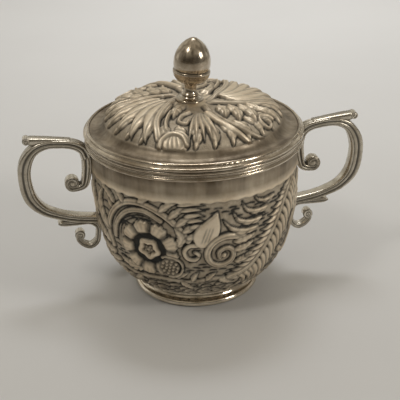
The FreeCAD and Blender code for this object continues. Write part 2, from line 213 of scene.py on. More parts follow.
class Relief:
    """Height, bare ground and cut lines on a flat sheet of metal, in millimetres."""

    GROUND = -0.42      # height of the bare ground

    def __init__(self, low, high, step, period=None):
        self.step = step
        self.low = np.array(low, dtype=float)
        self.period = period
        columns = int(round((high[0] - low[0]) / step)) + (0 if period else 1)
        rows = int(round((high[1] - low[1]) / step)) + 1
        self.x = low[0] + step * np.arange(columns)
        self.y = low[1] + step * np.arange(rows)
        self.height = np.full((rows, columns), self.GROUND)
        self.ground = np.ones((rows, columns))
        self.lines = np.zeros((rows, columns))

    def window(self, low, high, centre):
        """Rows, columns and coordinates of the cells in a box, wrapped about its centre."""
        x = self.x
        if self.period:
            half = self.period / 2
            x = (x - centre + half) % self.period - half + centre
        columns = np.nonzero((x >= low[0]) & (x <= high[0]))[0]
        rows = np.nonzero((self.y >= low[1]) & (self.y <= high[1]))[0]
        grid_x, grid_y = np.meshgrid(x[columns], self.y[rows])
        return np.ix_(rows, columns), grid_x, grid_y

    def along(self, corners, reach, count=24):
        """Distance to a curve, side of it and place along it, near the curve."""
        line = curve_points(corners, count)
        low, high = line.min(0) - reach, line.max(0) + reach
        cells, gx, gy = self.window(low, high, line[:, 0].mean())
        best = np.full(gx.shape, 1e9)
        place = np.zeros(gx.shape)
        side = np.zeros(gx.shape)
        spans = np.linalg.norm(np.diff(line, axis=0), axis=1)
        starts = np.concatenate([[0], np.cumsum(spans)])
        total = starts[-1]
        for k in range(len(line) - 1):
            a, b = line[k], line[k + 1]
            d = (b - a) / max(spans[k], 1e-9)
            px, py = gx - a[0], gy - a[1]
            f = np.clip(px * d[0] + py * d[1], 0, spans[k])
            ox, oy = px - f * d[0], py - f * d[1]
            distance = np.hypot(ox, oy)
            nearer = distance < best
            best = np.where(nearer, distance, best)
            place = np.where(nearer, (starts[k] + f) / total, place)
            side = np.where(nearer, np.sign(d[0] * py - d[1] * px), side)
        return cells, best, side, place, total

    def about(self, centre, radius):
        """Cells round a spot and how far they lie from it in x and in y."""
        low, high = np.array(centre) - radius - 2, np.array(centre) + radius + 2
        cells, gx, gy = self.window(low, high, centre[0])
        return cells, gx - centre[0], gy - centre[1]

    def mark(self, cells, dark):
        self.lines[cells] = np.maximum(self.lines[cells], dark)

    def lay(self, cells, inside, height, edge=0.3, cut=0.32, cut_width=0.38):
        """Raises a shape: inside is the distance in from its outline, negative outside."""
        cover = smooth_step(inside / edge + 0.5)
        self.height[cells] = self.height[cells] * (1 - cover) + height * cover
        self.ground[cells] *= 1 - cover
        line = np.exp(-((inside + 0.12) / cut_width) ** 2)
        self.height[cells] -= cut * line
        self.lines[cells] = np.maximum(self.lines[cells] * (1 - cover), line)

    def groove(self, corners, width=0.35, depth=0.2, taper=True):
        """A line cut with a tracing tool."""
        cells, distance, _, place, _ = self.along(corners, 3 * width)
        strength = np.exp(-(distance / width) ** 2)
        if taper:
            strength = strength * smooth_step(4 * place + 0.25) * smooth_step(4 * (1 - place) + 0.25)
        self.height[cells] -= depth * strength
        self.mark(cells, strength)

    def stem(self, corners, width, height, end_width=None, split=False):
        """A round-backed stem, with a cut down its middle when it is split."""
        end_width = width if end_width is None else end_width
        cells, distance, _, place, _ = self.along(corners, max(width, end_width) + 1.5, 32)
        half = (width + (end_width - width) * place) / 2
        across = np.clip(distance / half, 0, 1)
        top = height * (0.35 + 0.65 * np.sqrt(np.clip(1 - across ** 2, 0, 1)))
        if split:
            top = top - 0.35 * height * np.exp(-(distance / (0.22 * half + 0.12)) ** 2)
        self.lay(cells, half - distance, top)
        if split:
            self.mark(cells, 0.8 * np.exp(-(distance / 0.3) ** 2) * (distance < half))

    def leaf(self, corners, width, height, lobes=0, slant=0.9, plain=False, one_side=0, scallop=0.3):
        """A leaf about its midrib, tapering to a point, with lobes and veins along both sides."""
        cells, distance, side, place, total = self.along(corners, width + 1.5, 28)
        outline = np.sin(np.pi * np.clip(place, 0, 1) ** 0.75) ** 0.75 * (0.25 + 0.75 * (1 - place) ** 0.35)
        half = width * np.maximum(outline, 0.02)
        if one_side:
            half = np.where(side * one_side > 0, half, 0.25 * half)
        across = distance / np.maximum(half, 0.05)
        if lobes:
            phase = lobes * (place - slant * distance / total)
            notch = np.abs(np.sin(np.pi * phase)) ** 0.6
            half = half * (1 - scallop + scallop * notch)
            across = distance / np.maximum(half, 0.05)
        across = np.clip(across, 0, 1)
        top = height * (0.45 + 0.55 * np.sqrt(np.clip(1 - across ** 2, 0, 1)))
        vein = 0
        if lobes:
            vein = np.exp(-(np.sin(np.pi * phase) / 0.42) ** 2) * smooth_step(across * 2.2)
            top = top - 0.42 * height * vein
        if not plain:
            top = top + 0.22 * height * np.exp(-(distance / 0.55) ** 2)
            rib = np.exp(-((distance - 0.75) / 0.3) ** 2) * (across < 0.95)
            top = top - 0.2 * height * rib
            vein = np.maximum(vein, 0.7 * rib)
        inside = half - distance
        self.lay(cells, inside, top)
        if not plain:
            cover = smooth_step(inside / 0.3 + 0.5)
            self.mark(cells, 0.75 * vein * cover)

    def leaves(self, rows, height, **facts):
        """Leaves alike but for their corners and widths."""
        for corners, width in rows:
            self.leaf(corners, width, height, **facts)

    def boss(self, centre, radius, height, rim=0.0):
        """A round hump, with a raised border when rim is set."""
        cells, dx, dy = self.about(centre, radius)
        distance = np.hypot(dx, dy)
        top = height * np.sqrt(np.clip(1 - (distance / radius) ** 2, 0, 1))
        if rim:
            border = np.exp(-((distance - radius + rim) / (0.6 * rim)) ** 2)
            top = np.maximum(0.75 * top, 0.9 * height * border)
        self.lay(cells, radius - distance, top)

    def flower(self, centre, radius, petals=7, turn=0.3):
        """An open flower: ragged outer petals, a sunk ring, an inner ring and a small rosette."""
        cells, dx, dy = self.about(centre, radius)
        distance = np.hypot(dx, dy)
        angle = np.arctan2(dy, dx) + turn
        petal = np.abs(np.cos(angle * petals / 2))
        frill = 0.5 + 0.5 * np.cos(angle * petals * 4 + 0.9)
        edge = radius * (0.83 + 0.13 * petal ** 0.6 + 0.05 * frill)
        f = distance / radius
        dish = smooth_step((f - 0.50) / 0.18)
        top = -0.55 + 1.45 * dish - 0.5 * smooth_step((f - 0.86) / 0.2)
        gap = np.exp(-(petal / (0.95 - 0.62 * np.minimum(f, 1.1))) ** 4) * smooth_step((f - 0.40) / 0.2)
        hair = np.exp(-(np.sin(angle * petals * 2 + 0.7) / 0.34) ** 2) * smooth_step((f - 0.62) / 0.12)
        top = top - 0.55 * gap - 0.22 * hair
        self.lay(cells, edge - distance, top, cut=0.4)
        inside = distance < edge
        self.mark(cells, (0.95 * gap + 0.45 * hair) * inside)
        sunk = np.exp(-((f - 0.46) / 0.13) ** 4)
        self.mark(cells, 0.95 * sunk)
        self.ground[cells] = np.maximum(self.ground[cells], sunk)
        ring = 0.27 * radius
        wave = 0.04 * radius * np.cos(5 * angle)
        inner = ring + wave
        top = 0.75 * np.sqrt(np.clip(1 - ((distance - inner) / (0.10 * radius)) ** 2, 0, 1)) - 0.25
        self.lay(cells, 0.10 * radius - np.abs(distance - inner), top, cut=0.25)
        small = np.abs(np.cos(angle * 2.5)) ** 0.8
        core = 0.15 * radius * (0.35 + 0.65 * small)
        self.lay(cells, core - distance, 0.25 + 0.25 * small, cut=0.35)
        self.boss(centre, 0.055 * radius, 0.55)

    def berries(self, centre, radius):
        """A round cluster of small beads on a leaf."""
        self.boss(centre, radius, 0.25)
        for count, ring, start in ((1, 0.0, 0), (6, 0.42, 15), (10, 0.8, 0)):
            for i in range(count):
                angle = math.radians(start + 360 * i / count)
                x = centre[0] + ring * radius * math.cos(angle)
                y = centre[1] + ring * radius * math.sin(angle)
                self.boss((x, y), 0.19 * radius, 0.7)

    def fill_ground(self, low, high):
        """Fine curved strokes wherever a patch of ground was left bare."""
        pitch = 1.5
        length = 4.8
        for row in range(int((high[1] - low[1]) / pitch)):
            for column in range(int((high[0] - low[0]) / length)):
                x = low[0] + (column + 0.5 * (row % 2) + 0.4 * random.random()) * length
                y = low[1] + (row + 0.3 * random.random()) * pitch
                turn = random.uniform(-0.4, 0.4)
                spots = np.array([(x - 2.0, y - 0.9 * turn), (x, y + 0.25), (x + 2.0, y + 0.9 * turn)])
                if self.sample("ground", spots[:, 0], spots[:, 1]).min() > 0.6:
                    self.groove(spots, 0.4, 0.22)

    def soften(self, radius):
        """Rounds the cut edges, as metal does."""
        reach = int(math.ceil(2.5 * radius / self.step))
        kernel = np.exp(-0.5 * (np.arange(-reach, reach + 1) * self.step / radius) ** 2)
        kernel /= kernel.sum()
        for name in ("height", "lines"):
            field = getattr(self, name)
            for axis in (0, 1):
                mode = "wrap" if (axis == 1 and self.period) else "edge"
                width = [(0, 0), (0, 0)]
                width[axis] = (reach, reach)
                padded = np.pad(field, width, mode=mode)
                total = 0
                for k, weight in enumerate(kernel):
                    part = [slice(None), slice(None)]
                    part[axis] = slice(k, k + field.shape[axis])
                    total = total + weight * padded[tuple(part)]
                field = total
            setattr(self, name, field)

    def sample(self, field, x, y):
        """Value of a field at points, between its cells."""
        values = getattr(self, field)
        rows, columns = values.shape
        fx = (np.asarray(x) - self.low[0]) / self.step
        fy = np.clip((np.asarray(y) - self.low[1]) / self.step, 0, rows - 1.001)
        if self.period:
            fx = fx % columns
        else:
            fx = np.clip(fx, 0, columns - 1.001)
        x0 = np.floor(fx).astype(int)
        y0 = np.floor(fy).astype(int)
        x1 = (x0 + 1) % columns
        wx, wy = fx - x0, fy - y0
        x0 = x0 % columns
        return ((values[y0, x0] * (1 - wx) + values[y0, x1] * wx) * (1 - wy)
                + (values[y0 + 1, x0] * (1 - wx) + values[y0 + 1, x1] * wx) * wy)


# ---- Chasing on the bowl ----
PANEL = math.pi * 42.0     # half of the way round, from one handle to the other
BAND_LOW = 56.6            # the plain band under the rim starts here
CHASE_LOW = -2.0           # along the wall, just inside the foot
COLUMNS = 600              # points round the chased wall
CHASED_RINGS = 140
PLAIN_RINGS = (57.6, 59.5, 62.0, 65.0, 68.0, BOWL_LIP - 0.3)
LIP_ROUND = 0.3            # small slope on both edges of the lip
SMALLEST_RING = 1.0        # nearer the axis, a ring gives way to one point
RIM_SHADE_LOW = 61.5       # the band's painted shadow under the rim deepens from here up to the rim


def chase_bowl():
    """One panel between the handles: x runs round from its middle and y up the wall."""
    art = Relief((-PANEL / 2, CHASE_LOW), (PANEL / 2, BAND_LOW), 0.2, period=PANEL)

    # Rows of small strokes round the bottom, above the foot.
    strokes = 22
    for row in range(7):
        for i in range(strokes):
            x = (i + 0.5 * (row % 2) + 0.7 * random.random()) * PANEL / strokes - PANEL / 2
            y = 0.6 + 2.3 * row + 1.1 * random.random()
            half = random.uniform(2.0, 3.9)
            drop = random.uniform(-0.5, 1.1)
            width = random.uniform(0.7, 1.1)
            art.leaf([(x - half, y - drop), (x, y + 0.3), (x + half, y - 0.1)], width, 0.28, plain=True)
            art.groove([(x - 0.6 * half, y - 0.4 * drop), (x, y + 0.3), (x + 0.6 * half, y + 0.1)], 0.3, 0.14)

    # Ground stems that wander over those strokes.
    art.stem([(-66, 20), (-54, 17), (-44, 19.5), (-36, 18), (-22, 19), (-10, 18), (2, 19.5), (12, 17.5),
              (24, 18.5)], 1.9, 0.45, split=True)
    for x, y, dx, dy, w in ((-57, 17.5, -6, 5, 2.0), (-48, 18.5, 5, -5, 1.8), (-33, 18, -7, -4.5, 1.8),
                            (-14, 18.2, 6, -5, 2.0), (-9, 18.5, 3, 5, 1.6), (-3, 18.8, 5, 4, 1.6),
                            (3, 19.4, 7, -4, 2.0), (8, 19, 5, 4.5, 1.6)):
        art.leaf([(x, y), (x + 0.5 * dx, y + 0.65 * dy), (x + dx, y + dy)], w, 0.42, lobes=4)

    # Banded stems that arch over the flower and run on to the scrolls.
    art.stem([(-47, 29), (-47.5, 38), (-43, 47), (-36, 52.5), (-28, 53.5), (-20, 50.5), (-14, 45.5),
              (-10, 39.5)], 2.6, 0.5, split=True)
    art.stem([(-43.5, 35), (-41.5, 42), (-35.5, 48.6), (-27.5, 50.6), (-20.5, 47.5)], 2.1, 0.45, split=True)
    for x, y, dx, dy in ((-44, 47.5, -5, 6.5), (-37, 52, -5, 4), (-30, 54, 6, 2.4), (-21, 51.5, 7, 4.0),
                         (-17.5, 48.8, 9, 5.2), (-14.6, 45.8, 9, 4.6), (-12.2, 43.2, 9, 3.2),
                         (-10.8, 40.6, 8, 1.5)):
        art.leaf([(x, y), (x + 0.5 * dx, y + 0.72 * dy), (x + dx, y + dy)], 1.7, 0.42, lobes=3)

    for inset in (1.4, 2.8):
        art.groove([(-43.5 + inset, 35), (-41.5 + inset, 41.6), (-35.2 + 0.6 * inset, 47.6 - 0.6 * inset),
                    (-27.5, 49.6 - 0.9 * inset), (-20.9 - 0.3 * inset, 46.8 - 0.8 * inset)], 0.3, 0.2)

    # Hatched strokes in the field between the arch and the shield.
    for i in range(6):
        y = 55.2 - 2.3 * i
        art.leaf([(-14 + 1.2 * i, y - 0.6), (-8 + 0.6 * i, y + 0.2), (-3.5, y - 0.5)], 0.95, 0.35, plain=True)

    # Shield leaf, plain, with a stem that falls to the small curl.
    art.stem([(-3.6, 39.5), (-6.5, 37.5), (-9.5, 37.2), (-11.6, 34.6), (-10.6, 31.2), (-7.4, 30.4),
              (-5.9, 32.6), (-7.6, 34.2)], 2.2, 0.55, end_width=1.4)
    art.leaf([(-5.6, 36.6), (-3.2, 41.5), (-0.6, 46), (1.6, 51.8)], 5.4, 0.62, plain=True)
    for x in (-3.6, -2.4, -1.2):
        art.groove([(x - 1.4, 38.5), (x - 0.2, 42), (x + 1.0, 45.5)], 0.22, 0.1)

    # Large scroll that closes on itself to the right of the shield.
    art.stem([(12.5, 39.0), (8.6, 40.2), (3.6, 40.4), (-0.8, 37.6), (-2.6, 33.0), (-0.9, 28.6), (3.4, 26.9),
              (7.6, 28.9), (8.4, 32.8), (5.6, 35.4), (2.4, 33.9), (2.6, 31.0)], 3.0, 0.75, end_width=1.9,
             split=True)
    art.boss((4.3, 31.9), 1.15, 0.8)
    art.leaf([(9.0, 27.6), (13.5, 27.9), (18.5, 31.5)], 2.3, 0.5, lobes=5)
    art.leaf([(8.4, 33.6), (12.5, 33.8), (17.5, 36.2)], 2.0, 0.5, lobes=4)
    art.leaf([(8.0, 37.4), (13, 37.6), (18.2, 39.6)], 1.9, 0.5, lobes=4)

    # Curling leaves above the scroll.
    art.leaves((([(19, 42.5), (12.5, 42.2), (7.2, 44.2), (3.6, 48.0)], 2.6),
                ([(21, 46.0), (15, 45.6), (10.2, 47.3), (7.4, 51.2)], 2.5),
                ([(24, 49.8), (18, 49.4), (13.6, 51.0), (11.6, 54.4)], 2.3),
                ([(27.5, 53.4), (22, 52.8), (18.4, 54.0), (17.0, 56.0)], 1.9)), 0.6, lobes=4, one_side=1)

    # The plume: fronds on both sides of a long rope that climbs towards the handle.
    rope = curve_points([(7.5, 19.5), (15.5, 22.0), (21.5, 28.0), (26.5, 36.0), (31.5, 44.5), (37.5, 52.5),
                         (43, 56.5)], 40)
    for k in range(7, 38, 2):
        x, y = rope[k]
        art.leaf([(x, y), (x - 5.5, y - 1.6), (x - 11.5 + 0.12 * k, y - 1.2)], 1.15, 0.45, plain=True)
    for k in range(3, 39, 2):
        x, y = rope[k]
        length = 13.5 if k > 8 else 9.0
        art.leaf([(x, y), (x + 3.6, y - 0.30 * length), (x + 5.2, y - 0.66 * length),
                  (x + 4.9, y - length)], 1.45, 0.5, plain=True)
    art.stem(rope[::4], 2.4, 0.75, end_width=1.6, split=True)

    # Behind the plume, by the handle: a second scroll and a bud.
    art.stem([(36, 24), (42, 20.5), (49, 21.5), (53.5, 27), (52.8, 34), (47.5, 37.5), (43.4, 34.4),
              (44.4, 30.6), (47.4, 30.6)], 2.8, 0.6, end_width=1.7, split=True)
    art.leaves((([(53, 34), (55.5, 40), (52.5, 46)], 2.4), ([(53.5, 27), (59, 30), (62.5, 36)], 2.4),
                ([(52.5, 36.5), (49, 42), (50, 49), (54, 55)], 2.6), ([(55, 38), (60, 42), (61.5, 50)], 2.4),
                ([(49, 21.5), (56, 20), (62, 23.5)], 2.3), ([(46.4, 38.5), (43.8, 43), (45.5, 49)], 2.0),
                ([(62, 52), (57, 54.5), (50, 55.8)], 1.6)), 0.5, lobes=5)

    # By the other handle: leaves that turn back from the flower.
    art.leaves((([(-47, 37), (-52, 42), (-53, 49), (-49.5, 55)], 2.8),
                ([(-48, 30), (-54, 33), (-58.5, 39)], 2.6), ([(-46.5, 26), (-53, 25), (-60, 29)], 2.6),
                ([(-55, 42), (-59.5, 46), (-60.5, 53)], 2.3), ([(-60, 31), (-64.5, 36), (-65, 44)], 2.5),
                ([(-42, 50), (-46, 53.5), (-52, 55.8)], 1.7), ([(-44, 22.5), (-50, 21), (-56, 22.5)], 1.8)),
               0.5, lobes=5)

    # The flower, and the berries beside it.
    art.leaves((([(-30, 24), (-37, 22.5), (-43.5, 25)], 3.2), ([(-22, 24), (-15, 21.5), (-10, 23.5)], 2.6),
                ([(-15.5, 36), (-12.6, 40.5), (-15.4, 45.6)], 2.2)), 0.5, lobes=5)
    art.flower((-26.4, 33.8), 13.0, petals=9)
    art.berries((-18.0, 26.0), 4.2)
    art.stem(spiral((-18.0, 26.0), 5.2, 5.6, -100, 0.62), 1.1, 0.5)
    art.fill_ground((-PANEL / 2, 16.5), (PANEL / 2, BAND_LOW - 2.2))

    # Line that bounds the plain band.
    cells, gx, gy = art.window((-PANEL, BAND_LOW - 1.6), (PANEL, BAND_LOW + 1), 0)
    waves = np.sin(gx * 2 * math.pi / (PANEL / 24))
    lift = smooth_step((gy - (BAND_LOW - 1.3) - 0.22 * waves) / 0.5)
    for field in (art.height, art.ground, art.lines):
        field[cells] *= 1 - lift
    edge = np.exp(-((lift - 0.35) / 0.3) ** 2) * (lift > 0.001) * (lift < 0.999)
    art.mark(cells, 0.9 * edge)
    art.height[cells] -= 0.12 * edge
    art.soften(0.16)
    return art


FLANK_CENTRE = (BOWL_RADIUS - FLANK_RADIUS, FLANK_TOP)
CORNER_CENTRE = (FLANK_CENTRE[0] + (FLANK_RADIUS - CORNER_RADIUS) * math.cos(FLANK_SWEEP),
                 FLANK_TOP - (FLANK_RADIUS - CORNER_RADIUS) * math.sin(FLANK_SWEEP))


def wall_point(along):
    """Radius, height and outward normal of the bowl's outer wall, along it from its lip's height."""
    if along >= FLANK_TOP:
        return BOWL_RADIUS, along, (1.0, 0.0)
    angle = (FLANK_TOP - along) / FLANK_RADIUS
    centre, radius = FLANK_CENTRE, FLANK_RADIUS
    if angle > FLANK_SWEEP:
        rest = (FLANK_TOP - along) - FLANK_RADIUS * FLANK_SWEEP
        angle = FLANK_SWEEP + rest / CORNER_RADIUS
        centre, radius = CORNER_CENTRE, CORNER_RADIUS
        if angle > math.pi / 2:
            return CORNER_CENTRE[0] - (angle - math.pi / 2) * CORNER_RADIUS, BOWL_FLOOR, (0.0, -1.0)
    normal = (math.cos(angle), -math.sin(angle))
    return centre[0] + radius * normal[0], centre[1] + radius * normal[1], normal


def build_bowl():
    art = chase_bowl()
    angles = 2 * np.pi * np.arange(COLUMNS) / COLUMNS
    ways = np.stack([np.sin(angles), -np.cos(angles)], 1)
    around = angles * PANEL / math.pi
    near_handle = np.minimum(np.abs(angles - math.pi / 2), np.abs(angles - 1.5 * math.pi)) * BOWL_RADIUS
    calm = smooth_step((near_handle - 2.0) / 2.5)
    points, lines, ground, faces = [], [], [], []
    for along in np.concatenate([np.linspace(CHASE_LOW, BAND_LOW, CHASED_RINGS), PLAIN_RINGS]):
        radius, height, normal = wall_point(along)
        strength = calm * (along <= BAND_LOW)
        settle = smooth_step((along - CHASE_LOW) / 2.0)
        rise = art.sample("height", around, along) * settle * strength
        points.append(ring_points(ways, radius + rise * normal[0], height + rise * normal[1]))
        lines.append(art.sample("lines", around, along) * strength)
        ground.append(art.sample("ground", around, along) * strength)
    rings = len(points)
    for k in range(rings - 1):
        faces += join_rings(k * COLUMNS, (k + 1) * COLUMNS, COLUMNS)

    # Over the lip and down the inside.
    inner = [(BOWL_RADIUS - LIP_ROUND, BOWL_LIP), (BOWL_RADIUS - BOWL_WALL + LIP_ROUND, BOWL_LIP),
             (BOWL_RADIUS - BOWL_WALL, BOWL_LIP - LIP_ROUND)]
    for along in np.concatenate([np.linspace(BOWL_LIP - 3, 20, 24), np.linspace(18, -18, 22)]):
        radius, height, normal = wall_point(along)
        inner.append((radius - BOWL_WALL * normal[0], height - BOWL_WALL * normal[1]))
    inner = [spot for spot in inner if spot[0] > SMALLEST_RING]
    coarse_ways = ways[::COARSE_SHARE]
    close_with_rings(points, faces, (rings - 1) * COLUMNS, coarse_ways, inner, BOWL_FLOOR + BOWL_WALL)

    # The underside, inside the foot.
    under = [wall_point(along)[:2] for along in np.linspace(CHASE_LOW - 1.2, CHASE_LOW - 14, 9)]
    under = [spot for spot in under if spot[0] > SMALLEST_RING] + [(6.0, BOWL_FLOOR)]
    close_with_rings(points, faces, 0, coarse_ways, under, BOWL_FLOOR, turned_over=True)

    points = np.vstack(points)
    piece = make_piece("bowl_shell_chased", points, faces, "bowl", ["bowl_shell"])
    add_attribute(piece, "cut_lines", np.concatenate(lines))
    add_attribute(piece, "bare_ground", np.concatenate(ground))
    height = points[:, 2]
    # The band is darkened: a tarnish film with painted shade over it, and a painted shadow under the rim.
    band_film_and_shade = 0.72 * smooth_step((height - BAND_LOW - 0.3) / 1.5)
    painted_rim_shadow = 0.27 * smooth_step((height - RIM_SHADE_LOW) / 4.0)
    add_attribute(piece, "dulled_hollow", band_film_and_shade + painted_rim_shadow)


build_bowl()


# ---- Chasing on the lid ----
DOME_FOOT = FLANGE_RADIUS - FLANGE_WIDTH - HOLLOW_RADIUS * (math.sin(SHOULDER_END) + math.sin(HOLLOW_END))
CROWN_EDGE = (DOME_FOOT - SHOULDER_RADIUS * math.sin(SHOULDER_END)) / (1 - SHOULDER_RADIUS / CROWN_RADIUS)
CROWN_ANGLE = math.asin(CROWN_EDGE / CROWN_RADIUS)
CROWN_CENTRE = (0.0, CROWN_TOP - CROWN_RADIUS)
SHOULDER_CENTRE = ((CROWN_RADIUS - SHOULDER_RADIUS) * math.sin(CROWN_ANGLE),
                   CROWN_CENTRE[1] + (CROWN_RADIUS - SHOULDER_RADIUS) * math.cos(CROWN_ANGLE))
HOLLOW_CENTRE = (SHOULDER_CENTRE[0] + (SHOULDER_RADIUS + HOLLOW_RADIUS) * math.sin(SHOULDER_END),
                 SHOULDER_CENTRE[1] + (SHOULDER_RADIUS + HOLLOW_RADIUS) * math.cos(SHOULDER_END))
CROWN_ARC = CROWN_RADIUS * CROWN_ANGLE
DOME_ARC = CROWN_ARC + SHOULDER_RADIUS * (SHOULDER_END - CROWN_ANGLE)
COLLAR_RADIUS = box_mm("finial_collar")[1].x
LID_TURN = math.radians(-9.4)   # how the pattern sits against the handles
LID_GRID = 240                  # cells along each side of the dome's grid


def dome_point(arc):
    """Radius, height and outward normal at a distance along the dome from its middle."""
    if arc <= CROWN_ARC:
        angle = arc / CROWN_RADIUS
        centre, radius = CROWN_CENTRE, CROWN_RADIUS
    else:
        angle = CROWN_ANGLE + (arc - CROWN_ARC) / SHOULDER_RADIUS
        centre, radius = SHOULDER_CENTRE, SHOULDER_RADIUS
    normal = (math.sin(angle), math.cos(angle))
    return centre[0] + radius * normal[0], centre[1] + radius * normal[1], normal


def chase_lid():
    """The dome laid flat, x and y from its middle; each motif is drawn on both halves."""
    art = Relief((-40, -40), (40, 40), 0.2)

    def both(draw, points, *words, **facts):
        for half in (1, -1):
            draw([(half * x, half * y) for x, y in points], *words, **facts)

    # Small leaves under the rest, out at the edge.
    for degrees in range(5, 180, 12):
        a = math.radians(degrees)
        c, s = math.cos(a), math.sin(a)
        both(art.leaf, [(26 * c, 26 * s), (32 * c - 2 * s, 32 * s + 2 * c), (39 * c - s, 39 * s + c)],
             2.6, 0.5, lobes=3)

    # Acanthus to the front left: a broad leaf with long parallel lobes.
    for points, w in (([(-15, 1), (-24, -1), (-34, -6)], 3.9), ([(-13, 0), (-23, -5), (-33.6, -13)], 4.3),
                      ([(-11, -2), (-20, -9), (-30.5, -20)], 4.5),
                      ([(-10, -3), (-17.5, -13), (-25.5, -27.5)], 4.4),
                      ([(-9, -4), (-14.8, -15), (-19.5, -32)], 4.0)):
        both(art.leaf, points, w, 1.0, plain=True)
        both(art.groove, points, 0.3, 0.22)
    both(art.stem, [(-6.5, 1), (-9.5, -5), (-12.6, -13), (-14.2, -22), (-13.6, -32)], 2.0, 1.15,
         end_width=2.8, split=True)
    both(art.stem, [(-4.6, -4), (-6.8, -9), (-9.2, -15), (-10.6, -22), (-10.4, -28)], 1.9, 1.1, end_width=1.4)
    both(art.stem, [(-12, 3.5), (-18, 4.5), (-26, 3), (-34, 0)], 1.6, 0.85)

    # Upright lobe and small curl on the punched ground beside it.
    both(art.leaf, [(-3.2, -6.5), (-6.4, -12), (-8.0, -19.5)], 2.4, 0.8, lobes=4)
    both(art.stem, [(-1.5, -14.5), (-4.6, -17.8), (-5.6, -22.2), (-3.0, -24.2), (-1.8, -21.8)], 1.7, 0.8,
         end_width=1.2)

    # Low cabochon with a rounded border and a lip along its foot.
    for half in (1, -1):
        art.boss((-7.4 * half, -34.4 * half), 5.8, 0.45, rim=1.5)
    for x in (-10.6, -8.6, -6.4, -4.4):
        both(art.groove, [(0.35 * x - 4.9, -31.0), (0.8 * x - 1.5, -34.0), (x, -37.6)], 0.35, 0.2)
    both(art.stem, [(-14.5, -37.0), (-12.6, -32.8), (-8.4, -30.6), (-4.4, -32.4), (-2.6, -36.4)], 1.7, 1.0)

    # Fan of flutes.
    for dx, w in ((-3.8, 1.15), (-1.3, 1.3), (1.5, 1.35), (4.2, 1.3), (6.6, 1.1)):
        both(art.leaf, [(2.4 + 0.25 * dx, -15.5), (2.2 + 0.7 * dx, -25), (2.4 + 1.15 * dx, -35)], w, 0.85,
             plain=True)

    # Long rope that sweeps out to the front right, with a second rib outside it.
    both(art.stem, [(4.4, -9), (7.4, -16), (13, -22.6), (20.5, -26.8), (29, -26.2), (34, -21.5)], 2.1, 1.2,
         end_width=1.7, split=True)
    both(art.stem, [(5.5, -15.5), (10.0, -22.5), (16.5, -28.4), (24.5, -31.5), (31.5, -29.6)], 3.2, 1.0,
         end_width=2.0)
    for points, w in (([(9.6, -8.5), (12.2, -13.2), (12.6, -18.8)], 2.8),
                      ([(13.6, -7.6), (17.2, -13.6), (18.0, -21.6)], 2.8),
                      ([(17.6, -6.6), (22.4, -12.4), (24.4, -20.8)], 2.9),
                      ([(20.4, -5), (27.4, -9.4), (33.6, -12.0)], 2.8)):
        both(art.leaf, points, w, 1.0, lobes=3, slant=0.5, scallop=0.2)
    both(art.stem, spiral((29.2, -17.6), 4.4, 1.1, 60, 1.15), 1.7, 0.95, end_width=1.1)
    both(art.stem, [(6.5, -4.5), (12.5, -4.4), (20.5, -3.6), (29.5, 0.6), (36, 2)], 2.1, 1.05, end_width=1.5,
         split=True)

    art.soften(0.16)
    return art


def disc_grid(side):
    """A square grid wrapped onto a disc, so that its cells stay even: radius from 0 to 1, and angle."""
    steps = np.linspace(-1, 1, side + 1)
    a, b = (grid.ravel() for grid in np.meshgrid(steps, steps))
    wide = np.abs(a) > np.abs(b)
    safe_a, safe_b = (np.where(np.abs(grid) < 1e-9, 1e-9, grid) for grid in (a, b))
    reach = np.where(wide, a, b)
    turn = np.where(wide, (math.pi / 4) * (b / safe_a), math.pi / 2 - (math.pi / 4) * (a / safe_b))
    x, y = reach * np.cos(turn), reach * np.sin(turn)
    return np.hypot(x, y), np.arctan2(y, x)


def hollow_points(radius, shares):
    """Spots of the hollow moulding's arc, from the dome at share 0 to the flange at share 1."""
    points = []
    for t in shares:
        angle = (1.5 * math.pi - SHOULDER_END) * (1 - t) + (1.5 * math.pi + HOLLOW_END) * t
        points.append((HOLLOW_CENTRE[0] + radius * math.cos(angle),
                       HOLLOW_CENTRE[1] + radius * math.sin(angle)))
    return points


